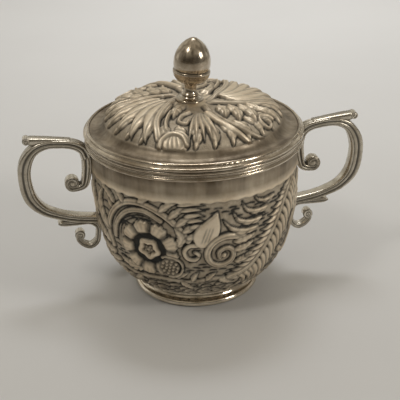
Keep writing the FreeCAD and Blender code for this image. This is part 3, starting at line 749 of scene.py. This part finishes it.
def build_lid():
    art = chase_lid()
    reach, angle = disc_grid(LID_GRID)
    arc = reach * DOME_ARC
    pattern = angle - LID_TURN
    x, y = arc * np.cos(pattern), arc * np.sin(pattern)
    fade = smooth_step((DOME_ARC - arc) / 0.9) * smooth_step((arc - COLLAR_RADIUS - 1.4) / 3.0)
    rise = art.sample("height", x, y) * fade
    cut = 0.8 * art.sample("lines", x, y) * smooth_step((DOME_ARC - arc) / 0.5)
    radius, height, out, up = np.array([dome_point(s)[:2] + dome_point(s)[2] for s in arc]).T
    ways = np.stack([np.cos(angle), np.sin(angle)], 1)
    points = [ring_points(ways, radius + rise * out, height + rise * up)]
    row = LID_GRID + 1
    corners = [i * row + j for i in range(LID_GRID) for j in range(LID_GRID)]
    faces = [(k, k + 1, k + row + 1, k + row) for k in corners]

    # From the grid's border, anticlockwise, out over the hollow and the flange.
    sides = range(LID_GRID)
    border = [i for i in sides] + [i * row + LID_GRID for i in sides]
    border += [LID_GRID * row + LID_GRID - i for i in sides] + [(LID_GRID - i) * row for i in sides]
    count = len(border)
    profile = hollow_points(HOLLOW_RADIUS, np.linspace(0, 1, 12)[1:])
    flange_height = profile[-1][1]
    profile += [(FLANGE_RADIUS - 0.4, flange_height), (FLANGE_RADIUS, flange_height),
                (FLANGE_RADIUS, flange_height - 0.5 * LID_WALL)]
    here = row * row
    faces += [(border[i], here + i, here + (i + 1) % count, border[(i + 1) % count]) for i in range(count)]
    for k, (radius, height) in enumerate(profile):
        points.append(ring_points(ways[border], radius, height))
        if k:
            here += count
            faces += flip(join_rings(here - count, here, count))

    # The underside.
    under = [(FLANGE_RADIUS, flange_height - LID_WALL)]
    under += hollow_points(HOLLOW_RADIUS + LID_WALL, np.linspace(1, 0, 8))
    for s in np.linspace(DOME_ARC, 1.5, 26):
        radius, height, normal = dome_point(s)
        under.append((radius - LID_WALL * normal[0], height - LID_WALL * normal[1]))
    coarse_ways = ways[border[::COARSE_SHARE]]
    close_with_rings(points, faces, here, coarse_ways, under, CROWN_TOP - LID_WALL, turned_over=True)

    points = np.vstack(points)
    piece = make_piece("lid_dome_chased", points, faces, "lid", ["lid_dome"])
    # Tarnish and painted shade: the hollow, the flange and the underside are darkened evenly, the dome only
    # near its edge.
    tarnish_and_shade = np.full(len(points), 0.85)
    tarnish_and_shade[:len(arc)] *= smooth_step((arc - DOME_ARC + 1.6) / 2.0)
    add_attribute(piece, "dulled_hollow", tarnish_and_shade)
    add_attribute(piece, "cut_lines", cut)
    add_attribute(piece, "bare_ground", art.sample("ground", x, y) * fade)


build_lid()


# ---- Handles ----
HANDLE_REACH = 27.2
HANDLE_DROP = 36.3
STRAP_WIDTH = 5.2
STRAP_HALF = 1.7
STRAP_SWELL = 0.9
START_DROP = 0.23 * HANDLE_DROP     # where the scroll leaves the wall, under the lip
VOLUTE_WIDTH = 4.6
VOLUTE_HALF = 2.1
VOLUTE_RADIUS = 3.7
VOLUTE_DROP = 19.0
VOLUTE_OUT = 8.1
SPUR_WIDTH = 4.4
SPUR_TIP = 2.2
TAIL_WIDTH = 4.2
TAIL_HALF = 1.1
TAIL_LENGTH = 12.6
TAIL_OUT = 8.6
BEAD_RADIUS = 2.1
SINK = 0.3                # how far an end is let into the wall
RING_GROOVE = 0.44        # place of the grooves on a scroll's round end, in shares of its width


def out_from_wall(out, drop):
    """Spot measured out from the wall and down from the lip."""
    return (BOWL_RADIUS + out, BOWL_LIP - drop)


def wall_radius(height):
    if height >= FLANK_TOP:
        return BOWL_RADIUS
    if height < FLANK_TOP - FLANK_RADIUS * math.sin(FLANK_SWEEP):
        return CORNER_CENTRE[0] + math.sqrt(CORNER_RADIUS ** 2 - (height - CORNER_CENTRE[1]) ** 2)
    return FLANK_CENTRE[0] + math.sqrt(FLANK_RADIUS ** 2 - (height - FLANK_CENTRE[1]) ** 2)


# Half of the strap's section, outer side first: place across its thickness, place across
# its width, and how far the spot lies in a groove.
REEDED_HALF = (
    (1.00, 0.00, 0.0), (1.00, 0.26, 0.0), (0.88, 0.36, 0.8), (0.88, 0.44, 0.8), (1.00, 0.54, 0.0),
    (0.98, 0.80, 0.0), (0.88, 0.94, 0.0), (0.72, 1.00, 0.0), (0.46, 1.00, 0.1), (0.34, 0.88, 0.8),
    (0.22, 0.82, 1.0), (0.10, 0.88, 0.8), (-0.02, 1.00, 0.1), (-0.36, 1.00, 0.0), (-0.44, 0.92, 0.8),
    (-0.52, 0.92, 0.8), (-0.60, 1.00, 0.0), (-0.80, 0.96, 0.0), (-0.94, 0.82, 0.0), (-1.00, 0.50, 0.0),
    (-1.00, 0.00, 0.0),
)
REEDED = REEDED_HALF + tuple((n, -y, dark) for n, y, dark in reversed(REEDED_HALF[1:-1]))


def sweep(stations, width, steps):
    """Reeded strap along stations ((x, z), half-thickness) in the XZ plane."""
    line = curve_points([(x, z, half) for (x, z), half in stations], steps)
    tangent = np.gradient(line[:, :2], axis=0)
    tangent /= np.linalg.norm(tangent, axis=1)[:, None]
    count = len(REEDED)
    points, dark = [], []
    for (x, z, half), (tx, tz) in zip(line, tangent):
        for n, y, groove in REEDED:
            points.append((x - tz * n * half, y * width / 2, z + tx * n * half))
            dark.append(groove)
    return points, tube_faces(len(line), count), dark


def roller(centre, radius, width, count=40):
    """Round end of a scroll: a short drum with a domed, ringed face on each side."""
    rings = [(0.34, 0.50), (0.46, RING_GROOVE), (0.56, 0.50), (0.82, 0.50), (0.96, RING_GROOVE), (1.0, 0.34)]
    rings += [(f, -w) for f, w in reversed(rings)]
    points, dark = [], []
    for f, w in rings:
        for i in range(count):
            a = 2 * math.pi * i / count
            points.append((centre[0] + f * radius * math.cos(a), w * width,
                           centre[1] + f * radius * math.sin(a)))
            dark.append(1.0 if abs(w) == RING_GROOVE else 0.0)
    return points, flip(tube_faces(len(rings), count)), dark


def merged(*parts):
    """Points, faces and darkness of some shapes as one."""
    points, faces, dark = [], [], []
    for more_points, more_faces, more_dark in parts:
        base = len(points)
        points += list(more_points)
        faces += [tuple(v + base for v in face) for face in more_faces]
        dark += list(more_dark)
    return points, faces, dark


def main_scroll():
    half, fat, reach, drop = STRAP_HALF, STRAP_HALF + STRAP_SWELL, HANDLE_REACH, HANDLE_DROP
    middle = half + 0.4 * STRAP_SWELL
    stations = [
        (out_from_wall(VOLUTE_HALF - SINK, START_DROP), VOLUTE_HALF),
        (out_from_wall(0.13 * reach, 0.12 * drop), half + 0.2),
        (out_from_wall(0.30 * reach, 0.055 * drop), half),
        (out_from_wall(0.62 * reach, 0.035 * drop), half),
        (out_from_wall(0.84 * reach, 0.10 * drop), middle),
        (out_from_wall(0.97 * reach, 0.25 * drop), fat),
        (out_from_wall(reach, 0.44 * drop), fat),
        (out_from_wall(0.94 * reach, 0.67 * drop), fat),
        (out_from_wall(0.77 * reach, 0.825 * drop), middle),
        (out_from_wall(0.54 * reach, 0.91 * drop), half),
        (out_from_wall(0.28 * reach, 0.965 * drop), half),
        ((wall_radius(BOWL_LIP - drop) - SINK, BOWL_LIP - drop), half),
    ]
    return sweep(stations, STRAP_WIDTH, 150)


def upper_volute():
    start = out_from_wall(VOLUTE_HALF - SINK, START_DROP)
    middle = out_from_wall(VOLUTE_OUT, VOLUTE_DROP)
    bend = VOLUTE_RADIUS - 0.5 * VOLUTE_HALF
    stations = [
        ((start[0], start[1] + 0.6), VOLUTE_HALF),
        ((start[0], 0.4 * start[1] + 0.6 * (middle[1] + VOLUTE_RADIUS)), VOLUTE_HALF),
        ((start[0] + 0.1 * VOLUTE_OUT, middle[1] + 0.3 * VOLUTE_RADIUS), 0.85 * VOLUTE_HALF),
        ((middle[0] - 0.5 * VOLUTE_OUT, middle[1] - 0.6 * bend), 0.7 * VOLUTE_HALF),
    ]
    for k in range(9):
        angle = math.radians(-90 + 45 * k)
        radius = bend - 0.16 * k
        stations.append(((middle[0] + radius * math.cos(angle), middle[1] + radius * math.sin(angle)),
                         VOLUTE_HALF * (0.5 - 0.025 * k)))
    return merged(sweep(stations, VOLUTE_WIDTH, 110), roller(middle, 0.72 * VOLUTE_RADIUS, VOLUTE_WIDTH))


def thumb_spur():
    """Thumb rest: a plate on the main scroll that lifts off it and ends in a small roll."""
    reach = HANDLE_REACH
    points = []
    steps = 26
    for k in range(steps):
        t = k / (steps - 1)
        x = BOWL_RADIUS + reach * (0.28 + 0.66 * t)
        top = BOWL_LIP + SPUR_TIP * t ** 1.1 + 0.25 * math.sin(math.pi * t)
        under = max(t - 0.78, 0) / 0.22
        low = BOWL_LIP - 0.035 * HANDLE_DROP + 0.7 - 3.4 * max(t - 0.5, 0) ** 1.5 + 1.9 * under ** 1.5
        low = min(low, top - 0.5)
        half = SPUR_WIDTH / 2 * (0.86 + 0.22 * t) * (1 - 0.35 * max(t - 0.9, 0) / 0.1)
        edge = min(0.35, 0.3 * (top - low))
        points += [(x, -half, low), (x, half, low), (x, half, top - edge), (x, half - edge, top),
                   (x, 0.25 * half, top - 0.12), (x, 0, top + 0.08), (x, -0.25 * half, top - 0.12),
                   (x, edge - half, top), (x, -half, top - edge)]
    plate = (points, tube_faces(steps, len(points) // steps), [0.0] * len(points))
    roll = out_from_wall(0.93 * reach, -SPUR_TIP + 1.3)
    return merged(plate, roller(roll, 1.5, SPUR_WIDTH + 0.5, 24))


def tail_scroll():
    arm = BOWL_LIP - HANDLE_DROP - 0.45 * STRAP_HALF
    leaf = BOWL_LIP - arm
    leave = arm - 0.22 * TAIL_LENGTH
    low = BOWL_LIP - HANDLE_DROP - TAIL_LENGTH
    wall = wall_radius(leave)
    middle = (wall + TAIL_OUT, low + 0.46 * TAIL_LENGTH)
    stations = [
        (out_from_wall(0.565 * HANDLE_REACH, leaf - 0.1), 0.25 * TAIL_HALF),
        (out_from_wall(0.49 * HANDLE_REACH, leaf), 0.95 * TAIL_HALF),
        (out_from_wall(0.33 * HANDLE_REACH, leaf), 1.1 * TAIL_HALF),
        (out_from_wall(0.12 * HANDLE_REACH, leaf), TAIL_HALF),
        ((wall_radius(arm) + 2.0 * TAIL_HALF, arm - 0.06 * TAIL_LENGTH), TAIL_HALF),
        ((wall + 0.8 * TAIL_HALF, leave), TAIL_HALF),
        ((wall + 0.8 * TAIL_HALF, low + 0.44 * TAIL_LENGTH), TAIL_HALF),
        ((wall + 0.2 * TAIL_OUT, low + 0.17 * TAIL_LENGTH), TAIL_HALF),
        ((wall + 0.5 * TAIL_OUT, low + 0.02 * TAIL_LENGTH), TAIL_HALF),
        ((wall + 0.85 * TAIL_OUT, low + 0.1 * TAIL_LENGTH), 0.9 * TAIL_HALF),
        ((middle[0] + 0.1 * TAIL_OUT, middle[1] - 0.15 * TAIL_LENGTH), 0.8 * TAIL_HALF),
        (middle, 0.6 * TAIL_HALF),
    ]
    return merged(sweep(stations, TAIL_WIDTH, 110), roller(middle, BEAD_RADIUS, TAIL_WIDTH))


for make in (main_scroll, upper_volute, thumb_spur, tail_scroll):
    shape_points, shape_faces, shape_dark = make()
    for side_name, sign in (("right", 1), ("left", -1)):
        node = "handle_" + side_name + "_" + make.__name__
        turned = [(sign * x, sign * y, z) for x, y, z in shape_points]
        piece = make_piece(node + "_cast", turned, shape_faces, "bowl", [node])
        add_attribute(piece, "cut_lines", shape_dark)



# ---- Finial, which stands leaning a little ----
COLLAR_HEIGHT = 1.6
COLLAR_SUNK = 0.8             # into the crown, so that the lean shows no gap
COLLAR_TOP = CROWN_TOP + COLLAR_HEIGHT
STEM_RADIUS = 2.4
STEM_RING_RADIUS = 3.4
STEM_HEIGHT = 5.4
CUP_RADIUS = 7.6
CUP_HEIGHT = 5.4
NUT_RADIUS = 7.4
NUT_HEIGHT = 13.2
FINIAL_LEAN = math.radians(4.7)
FINIAL_SHIFT = 1.2            # of its foot, away from the side it leans to
FINIAL_LEAN_TOWARDS = math.radians(-9.4)
STEM_TOP = COLLAR_TOP + STEM_HEIGHT
CUP_TOP = STEM_TOP + CUP_HEIGHT
FINIAL_TOP = CUP_TOP + NUT_HEIGHT


def arc_points(start, middle, end, count):
    """Points on the circle through three points, without the first."""
    (ax, ay), (bx, by), (cx, cy) = start, middle, end
    a2, b2, c2 = ax ** 2 + ay ** 2, bx ** 2 + by ** 2, cx ** 2 + cy ** 2
    d = 2 * (ax * (by - cy) + bx * (cy - ay) + cx * (ay - by))
    ux = (a2 * (by - cy) + b2 * (cy - ay) + c2 * (ay - by)) / d
    uy = (a2 * (cx - bx) + b2 * (ax - cx) + c2 * (bx - ax)) / d
    radius = math.hypot(ax - ux, ay - uy)
    first, through, last = (math.atan2(y - uy, x - ux) for x, y in (start, middle, end))
    turn = (last - first) % (2 * math.pi)
    if (through - first) % (2 * math.pi) > turn:
        turn -= 2 * math.pi
    angles = [first + turn * k / count for k in range(1, count + 1)]
    return [(ux + radius * math.cos(angle), uy + radius * math.sin(angle)) for angle in angles]


def turned_piece(node, profile, count=96):
    """Closed turning from its lowest middle point to its highest, leaning with the finial."""
    towards = Vector((math.cos(FINIAL_LEAN_TOWARDS), math.sin(FINIAL_LEAN_TOWARDS), 0))
    lean = Matrix.Rotation(FINIAL_LEAN, 3, Vector((0, 0, 1)).cross(towards))
    pivot = Vector((0, 0, COLLAR_TOP))
    points = [Vector((0, 0, profile[0][1]))]
    for radius, height in profile[1:-1]:
        for i in range(count):
            a = 2 * math.pi * i / count
            points.append(Vector((radius * math.cos(a), radius * math.sin(a), height)))
    points.append(Vector((0, 0, profile[-1][1])))
    faces = [(0, 1 + (i + 1) % count, 1 + i) for i in range(count)]
    for k in range(len(profile) - 3):
        faces += join_rings(1 + k * count, 1 + (k + 1) * count, count)
    top = len(points) - 1
    faces += [(top - count + i, top - count + (i + 1) % count, top) for i in range(count)]
    leaned = [tuple(lean @ (p - pivot) + pivot - FINIAL_SHIFT * towards) for p in points]
    make_piece(node + "_turned", leaned, faces, "lid", [node])


def build_finial():
    ring = STEM_RING_RADIUS - 0.3
    edge = CROWN_TOP + 0.35 * COLLAR_HEIGHT
    low = CROWN_TOP - COLLAR_SUNK
    collar = [(0, low), (COLLAR_RADIUS, low), (COLLAR_RADIUS, CROWN_TOP)]
    collar += arc_points(collar[-1], (COLLAR_RADIUS - 0.1 * COLLAR_HEIGHT, edge),
                         (COLLAR_RADIUS - 0.5 * COLLAR_HEIGHT, edge + 0.1), 8)
    shoulder = (STEM_RING_RADIUS + 0.3 * COLLAR_HEIGHT, COLLAR_TOP - 0.4 * COLLAR_HEIGHT)
    collar += arc_points(collar[-1], shoulder, (STEM_RING_RADIUS, COLLAR_TOP), 12)
    turned_piece("finial_collar", collar + [(0, COLLAR_TOP)])
    low = COLLAR_TOP - 0.3
    stem = [(0, low), (ring, low), (ring, COLLAR_TOP)]
    stem += arc_points((ring, COLLAR_TOP), (STEM_RING_RADIUS, COLLAR_TOP + 0.11 * STEM_HEIGHT),
                       (ring, COLLAR_TOP + 0.22 * STEM_HEIGHT), 8)
    stem += arc_points(stem[-1], (STEM_RADIUS, COLLAR_TOP + 0.6 * STEM_HEIGHT), (ring, STEM_TOP), 16)
    turned_piece("finial_stem", stem + [(0, STEM_TOP)])
    lip = CUP_TOP - 0.25 * CUP_HEIGHT
    cup = [(0, STEM_TOP), (ring, STEM_TOP)]
    cup += arc_points(cup[-1], (ring + 0.66 * (CUP_RADIUS - ring), STEM_TOP + 0.36 * (lip - STEM_TOP)),
                      (CUP_RADIUS - 0.2, lip), 22)
    cup += arc_points(cup[-1], (CUP_RADIUS, (lip + CUP_TOP) / 2), (CUP_RADIUS - 0.2, CUP_TOP), 8)
    turned_piece("finial_acorn_cup", cup + [(0, CUP_TOP)])
    nut = [(0, CUP_TOP), (0.93 * NUT_RADIUS, CUP_TOP)]
    nut += arc_points(nut[-1], (0.985 * NUT_RADIUS, CUP_TOP + 0.1 * NUT_HEIGHT),
                      (NUT_RADIUS, CUP_TOP + 0.24 * NUT_HEIGHT), 8)
    nut += arc_points(nut[-1], (0.74 * NUT_RADIUS, CUP_TOP + 0.7 * NUT_HEIGHT),
                      (0.16 * NUT_RADIUS, FINIAL_TOP - 0.02 * NUT_HEIGHT), 30)
    turned_piece("finial_acorn_nut", nut + [(0, FINIAL_TOP)])


build_finial()


# ---- Materials ----
class Nodes:
    """Short way to write the node tree of a material or of the world."""

    def __init__(self, owner):
        owner.use_nodes = True
        self.owner = owner
        self.tree = owner.node_tree
        self.tree.nodes.clear()

    def node(self, kind, **inputs):
        made = self.tree.nodes.new(kind)
        for key, value in inputs.items():
            self.put(made.inputs[key.replace("_", " ")], value)
        return made

    def put(self, socket, value):
        if isinstance(value, bpy.types.NodeSocket):
            self.tree.links.new(value, socket)
        else:
            socket.default_value = value

    def maths(self, operation, first, second, clamp=False):
        made = self.node("ShaderNodeMath")
        made.operation = operation
        made.use_clamp = clamp
        self.put(made.inputs[0], first)
        self.put(made.inputs[1], second)
        return made.outputs[0]

    def weighted(self, *pairs):
        """Sum of values, each times its weight."""
        total = None
        for value, weight in pairs:
            part = self.maths("MULTIPLY", value, weight)
            total = part if total is None else self.maths("ADD", total, part)
        return total

    def noise(self, place, scale, detail, roughness=0.5, stretch=None):
        if stretch:
            place = self.node("ShaderNodeMapping", Vector=place, Scale=stretch).outputs["Vector"]
        made = self.node("ShaderNodeTexNoise", Vector=place, Scale=scale, Detail=detail, Roughness=roughness)
        return made.outputs["Fac"]

    def ramp(self, value, *stops):
        made = self.node("ShaderNodeValToRGB", Fac=value)
        elements = made.color_ramp.elements
        while len(elements) < len(stops):
            elements.new(0.5)
        for element, (position, colour) in zip(elements, stops):
            element.position = position
            element.color = (*colour, 1.0)
        return made.outputs["Color"]

    def span(self, value, low_in, high_in, low_out=0.0, high_out=1.0):
        made = self.node("ShaderNodeMapRange", Value=value, From_Min=low_in, From_Max=high_in,
                         To_Min=low_out, To_Max=high_out)
        return made.outputs["Result"]

    def mix(self, factor, first, second, blend="MIX"):
        made = self.node("ShaderNodeMix")
        made.data_type = "RGBA"
        made.blend_type = blend
        for key, value in (("Factor", factor), ("A", first), ("B", second)):
            self.put(made.inputs[key], value)
        return made.outputs["Result"]

    def attribute(self, name):
        made = self.node("ShaderNodeAttribute")
        made.attribute_name = name
        return made.outputs["Fac"]

    def surface(self, **inputs):
        """The principled shader as the material's surface."""
        shader = self.node("ShaderNodeBsdfPrincipled", **inputs)
        self.node("ShaderNodeOutputMaterial", Surface=shader.outputs["BSDF"])
        return self.owner


def silver(name, bright, film, rough, hollow_distance, film_amount, chased=False):
    """Old silver: bright where it is rubbed, with a brown film, and black in the hollows and between parts,
    part tarnish and part painted shade.
    """
    n = Nodes(bpy.data.materials.new(name))
    place = n.node("ShaderNodeTexCoord").outputs["Object"]
    broad = n.noise(place, 55, 4, 0.55)
    blotch = n.noise(place, 330, 5, 0.6)
    grain = n.noise(place, 2600, 3, 0.6)
    hairs = n.noise(place, 900, 2, stretch=(1.0, 1.0, 6.0))
    streaks = n.noise(place, 150, 3, 0.6, stretch=(1.0, 1.0, 0.16))
    lines = n.attribute("cut_lines")
    ground = n.attribute("bare_ground")

    # How much black lies at each spot: the occlusion test darkens hollows, creases and the gaps between
    # parts, part tarnish and part painted shade.
    hollow = n.node("ShaderNodeAmbientOcclusion", Distance=hollow_distance)
    hollow.samples = 6
    shade = n.span(hollow.outputs["AO"], 0.35, 0.85, 1.0, 0.0)
    if chased:
        worn = n.span(blotch, 0.3, 0.7, 0.65, 1.0)
        cut = n.maths("MULTIPLY", n.weighted((lines, 1.0), (ground, 0.5)), worn)
        dark = n.maths("ADD", cut, n.maths("MULTIPLY", shade, 0.35), clamp=True)
    else:
        dark = n.maths("MAXIMUM", n.maths("MULTIPLY", shade, 0.75), n.maths("MULTIPLY", lines, 0.85))

    # Bright metal, then the film, the tarnish and painted shade of the band and the lid's hollow in streaks,
    # and the black over it.
    film_spread = n.span(n.weighted((broad, 0.6), (blotch, 0.4)), 0.38, 0.62)
    colour = n.mix(n.maths("MULTIPLY", film_spread, film_amount), (*bright, 1.0), (*film, 1.0))
    uneven = n.span(streaks, 0.35, 0.65, 0.7, 1.05)
    tarnish_and_shade = n.maths("MULTIPLY", n.attribute("dulled_hollow"), uneven, clamp=True)
    colour = n.mix(tarnish_and_shade, colour, (0.10, 0.075, 0.05, 1.0))
    black = n.ramp(blotch, (0.3, (0.018, 0.024, 0.026)), (0.7, (0.055, 0.050, 0.042)))
    colour = n.mix(dark, colour, black)
    smudge = n.span(blotch, 0.3, 0.7, rough - 0.05, rough + 0.09)

    # Wear too fine for the mesh, and the punched dents of the ground.
    height = n.weighted((grain, 0.35), (hairs, 0.4), (blotch, 1.2))
    if chased:
        punch = n.node("ShaderNodeTexVoronoi", Vector=place, Scale=1350)
        dents = n.span(punch.outputs["Distance"], 0.0, 0.55)
        height = n.maths("ADD", height, n.maths("MULTIPLY", n.maths("MULTIPLY", dents, ground), 5.0))
    bump = n.node("ShaderNodeBump", Strength=0.35, Distance=0.00006, Height=height)
    return n.surface(Base_Color=colour, Metallic=n.span(dark, 0.0, 1.0, 1.0, 0.35),
                     Roughness=n.maths("ADD", smudge, n.maths("MULTIPLY", dark, 0.3), clamp=True),
                     Normal=bump.outputs["Normal"])


# The fifth number is how far the occlusion test looks: its black is part tarnish, part painted shade, and it
# reaches widest on polished silver to darken the seam between lid and bowl.
CHASED = silver("chased_silver", (0.90, 0.79, 0.63), (0.67, 0.55, 0.40), 0.45, 0.0012, 0.75, chased=True)
POLISHED = silver("polished_silver", (0.76, 0.68, 0.56), (0.34, 0.27, 0.195), 0.15, 0.0022, 0.9)
# A lighter, glossier copy of the polished silver for the foot: a painted sheen.
FOOT_SHEEN_SILVER = silver("rubbed_silver", (0.93, 0.84, 0.70), (0.54, 0.44, 0.32), 0.11, 0.0011, 0.75)
CAST = silver("cast_silver", (0.70, 0.65, 0.56), (0.40, 0.35, 0.27), 0.24, 0.0011, 0.8)
FIXING = silver("plain_fixing_silver", (0.62, 0.58, 0.52), (0.40, 0.35, 0.28), 0.35, 0.001, 0.6)

PIECE_LOOKS = {"_chased": CHASED, "_cast": CAST, "_turned": POLISHED}
CAD_LOOKS = {"bowl_rim_moulding": POLISHED, "lid_rim_moulding": POLISHED, "lid_bezel": POLISHED,
             "foot_base_wire": FOOT_SHEEN_SILVER, "foot_collet": FOOT_SHEEN_SILVER, "finial_stud": FIXING,
             "finial_washer": FIXING, "finial_fixing_nut": FIXING}

for piece in bpy.context.scene.objects:
    for ending, material in PIECE_LOOKS.items():
        if piece.name.endswith(ending):
            piece.data.materials.clear()
            piece.data.materials.append(material)
for node, material in CAD_LOOKS.items():
    for slot in frame["nodes"][node].material_slots:
        slot.material = material


# ---- Stage, light and camera ----
FLOOR_HALF = 2.5          # metres, as are all places below


def build_stage():
    n = Nodes(bpy.data.materials.new("floor_paper"))
    shade = n.noise(n.node("ShaderNodeTexCoord").outputs["Object"], 6, 4)
    colour = n.ramp(shade, (0.3, (0.655, 0.655, 0.655)), (0.7, (0.69, 0.69, 0.69)))
    mesh = bpy.data.meshes.new("floor")
    corners = [(x * FLOOR_HALF, y * FLOOR_HALF, 0) for x, y in ((-1, -1), (1, -1), (1, 1), (-1, 1))]
    mesh.from_pydata(corners, [], [(0, 1, 2, 3)])
    mesh.materials.append(n.surface(Base_Color=colour, Roughness=0.45))
    add_object("floor", mesh)


def build_world():
    """Soft room: a cream wall behind, a warm ceiling, and a dim room in front, all uneven."""
    world = bpy.data.worlds.new("room")
    bpy.context.scene.world = world
    n = Nodes(world)
    place = n.node("ShaderNodeTexCoord").outputs["Generated"]
    split = n.node("ShaderNodeSeparateXYZ", Vector=place)
    walls = n.ramp(n.span(split.outputs["Y"], -1.0, 1.0),
                   (0.0, (0.10, 0.09, 0.073)), (0.42, (0.175, 0.158, 0.13)),
                   (0.7, (0.45, 0.43, 0.385)), (1.0, (0.64, 0.62, 0.55)))
    ceiling = (0.465, 0.425, 0.35, 1.0)
    room = n.mix(n.span(split.outputs["Z"], 0.35, 0.9), walls, ceiling)
    uneven = n.span(n.noise(place, 3.2, 2), 0.34, 0.66)
    patches = n.ramp(uneven, (0.0, (0.35, 0.33, 0.3)), (1.0, (1.35, 1.36, 1.38)))
    back = n.node("ShaderNodeBackground", Color=n.mix(1.0, room, patches, "MULTIPLY"))
    n.node("ShaderNodeOutputWorld", Surface=back.outputs["Background"])


def add_light(kind, name, place, target, power, colour):
    data = bpy.data.lights.new(name, kind)
    data.energy = power
    data.color = colour
    light = add_object(name, data)
    light.location = place
    light.rotation_euler = (Vector(target) - Vector(place)).to_track_quat("-Z", "Y").to_euler()
    return data


def spot_light(name, place, target, spread, radius, power, colour):
    data = add_light("SPOT", name, place, target, power, colour)
    data.spot_size = math.radians(spread)
    data.spot_blend = 1.0
    data.shadow_soft_size = radius


def area_light(name, place, target, size, power, colour):
    data = add_light("AREA", name, place, target, power, colour)
    data.shape = "RECTANGLE"
    data.size, data.size_y = size


CAMERA_DISTANCE = 0.400       # from the target, which is on the axis
CAMERA_TARGET = Vector((0.0, 0.0, 0.080))
CAMERA_AZIMUTH = math.radians(-9.42)
CAMERA_ELEVATION = math.radians(20.19)
CAMERA_PAN = math.radians(-0.291)
CAMERA_TILT = math.radians(-5.581)
CAMERA_ROLL = math.radians(-1.11)
CAMERA_LENS = 88.6


def build_camera():
    data = bpy.data.cameras.new("camera")
    data.lens = CAMERA_LENS
    data.sensor_width = 36.0
    data.clip_start = 0.01
    camera = add_object("camera", data)
    away = Vector((math.sin(CAMERA_AZIMUTH) * math.cos(CAMERA_ELEVATION),
                   -math.cos(CAMERA_AZIMUTH) * math.cos(CAMERA_ELEVATION), math.sin(CAMERA_ELEVATION)))
    forward = -away
    right = Vector((math.cos(CAMERA_AZIMUTH), math.sin(CAMERA_AZIMUTH), 0))
    up = right.cross(forward)
    ahead = forward * math.cos(CAMERA_PAN) - right * math.sin(CAMERA_PAN)
    right = right * math.cos(CAMERA_PAN) + forward * math.sin(CAMERA_PAN)
    aimed = ahead * math.cos(CAMERA_TILT) + up * math.sin(CAMERA_TILT)
    up = up * math.cos(CAMERA_TILT) - ahead * math.sin(CAMERA_TILT)
    side = right * math.cos(CAMERA_ROLL) + up * math.sin(CAMERA_ROLL)
    top = up * math.cos(CAMERA_ROLL) - right * math.sin(CAMERA_ROLL)
    turn = Matrix((side, top, -aimed)).transposed().to_4x4()
    camera.matrix_world = Matrix.Translation(CAMERA_TARGET + away * CAMERA_DISTANCE) @ turn
    bpy.context.scene.camera = camera


build_stage()
build_world()
spot_light("table_lamp", (0.20, 0.75, 1.25), (0.13, 0.44, 0.0), 42, 0.42, 72, (0.985, 0.99, 1.0))
area_light("window", (-0.55, -0.35, 0.95), (0.0, 0.0, 0.06), (0.16, 0.22), 1.6, (1.0, 0.97, 0.92))
area_light("lamp", (0.75, -0.55, 0.50), (0.0, 0.0, 0.06), (0.22, 0.22), 2.6, (1.0, 0.96, 0.89))
build_camera()
bpy.context.scene.view_settings.view_transform = "Standard"
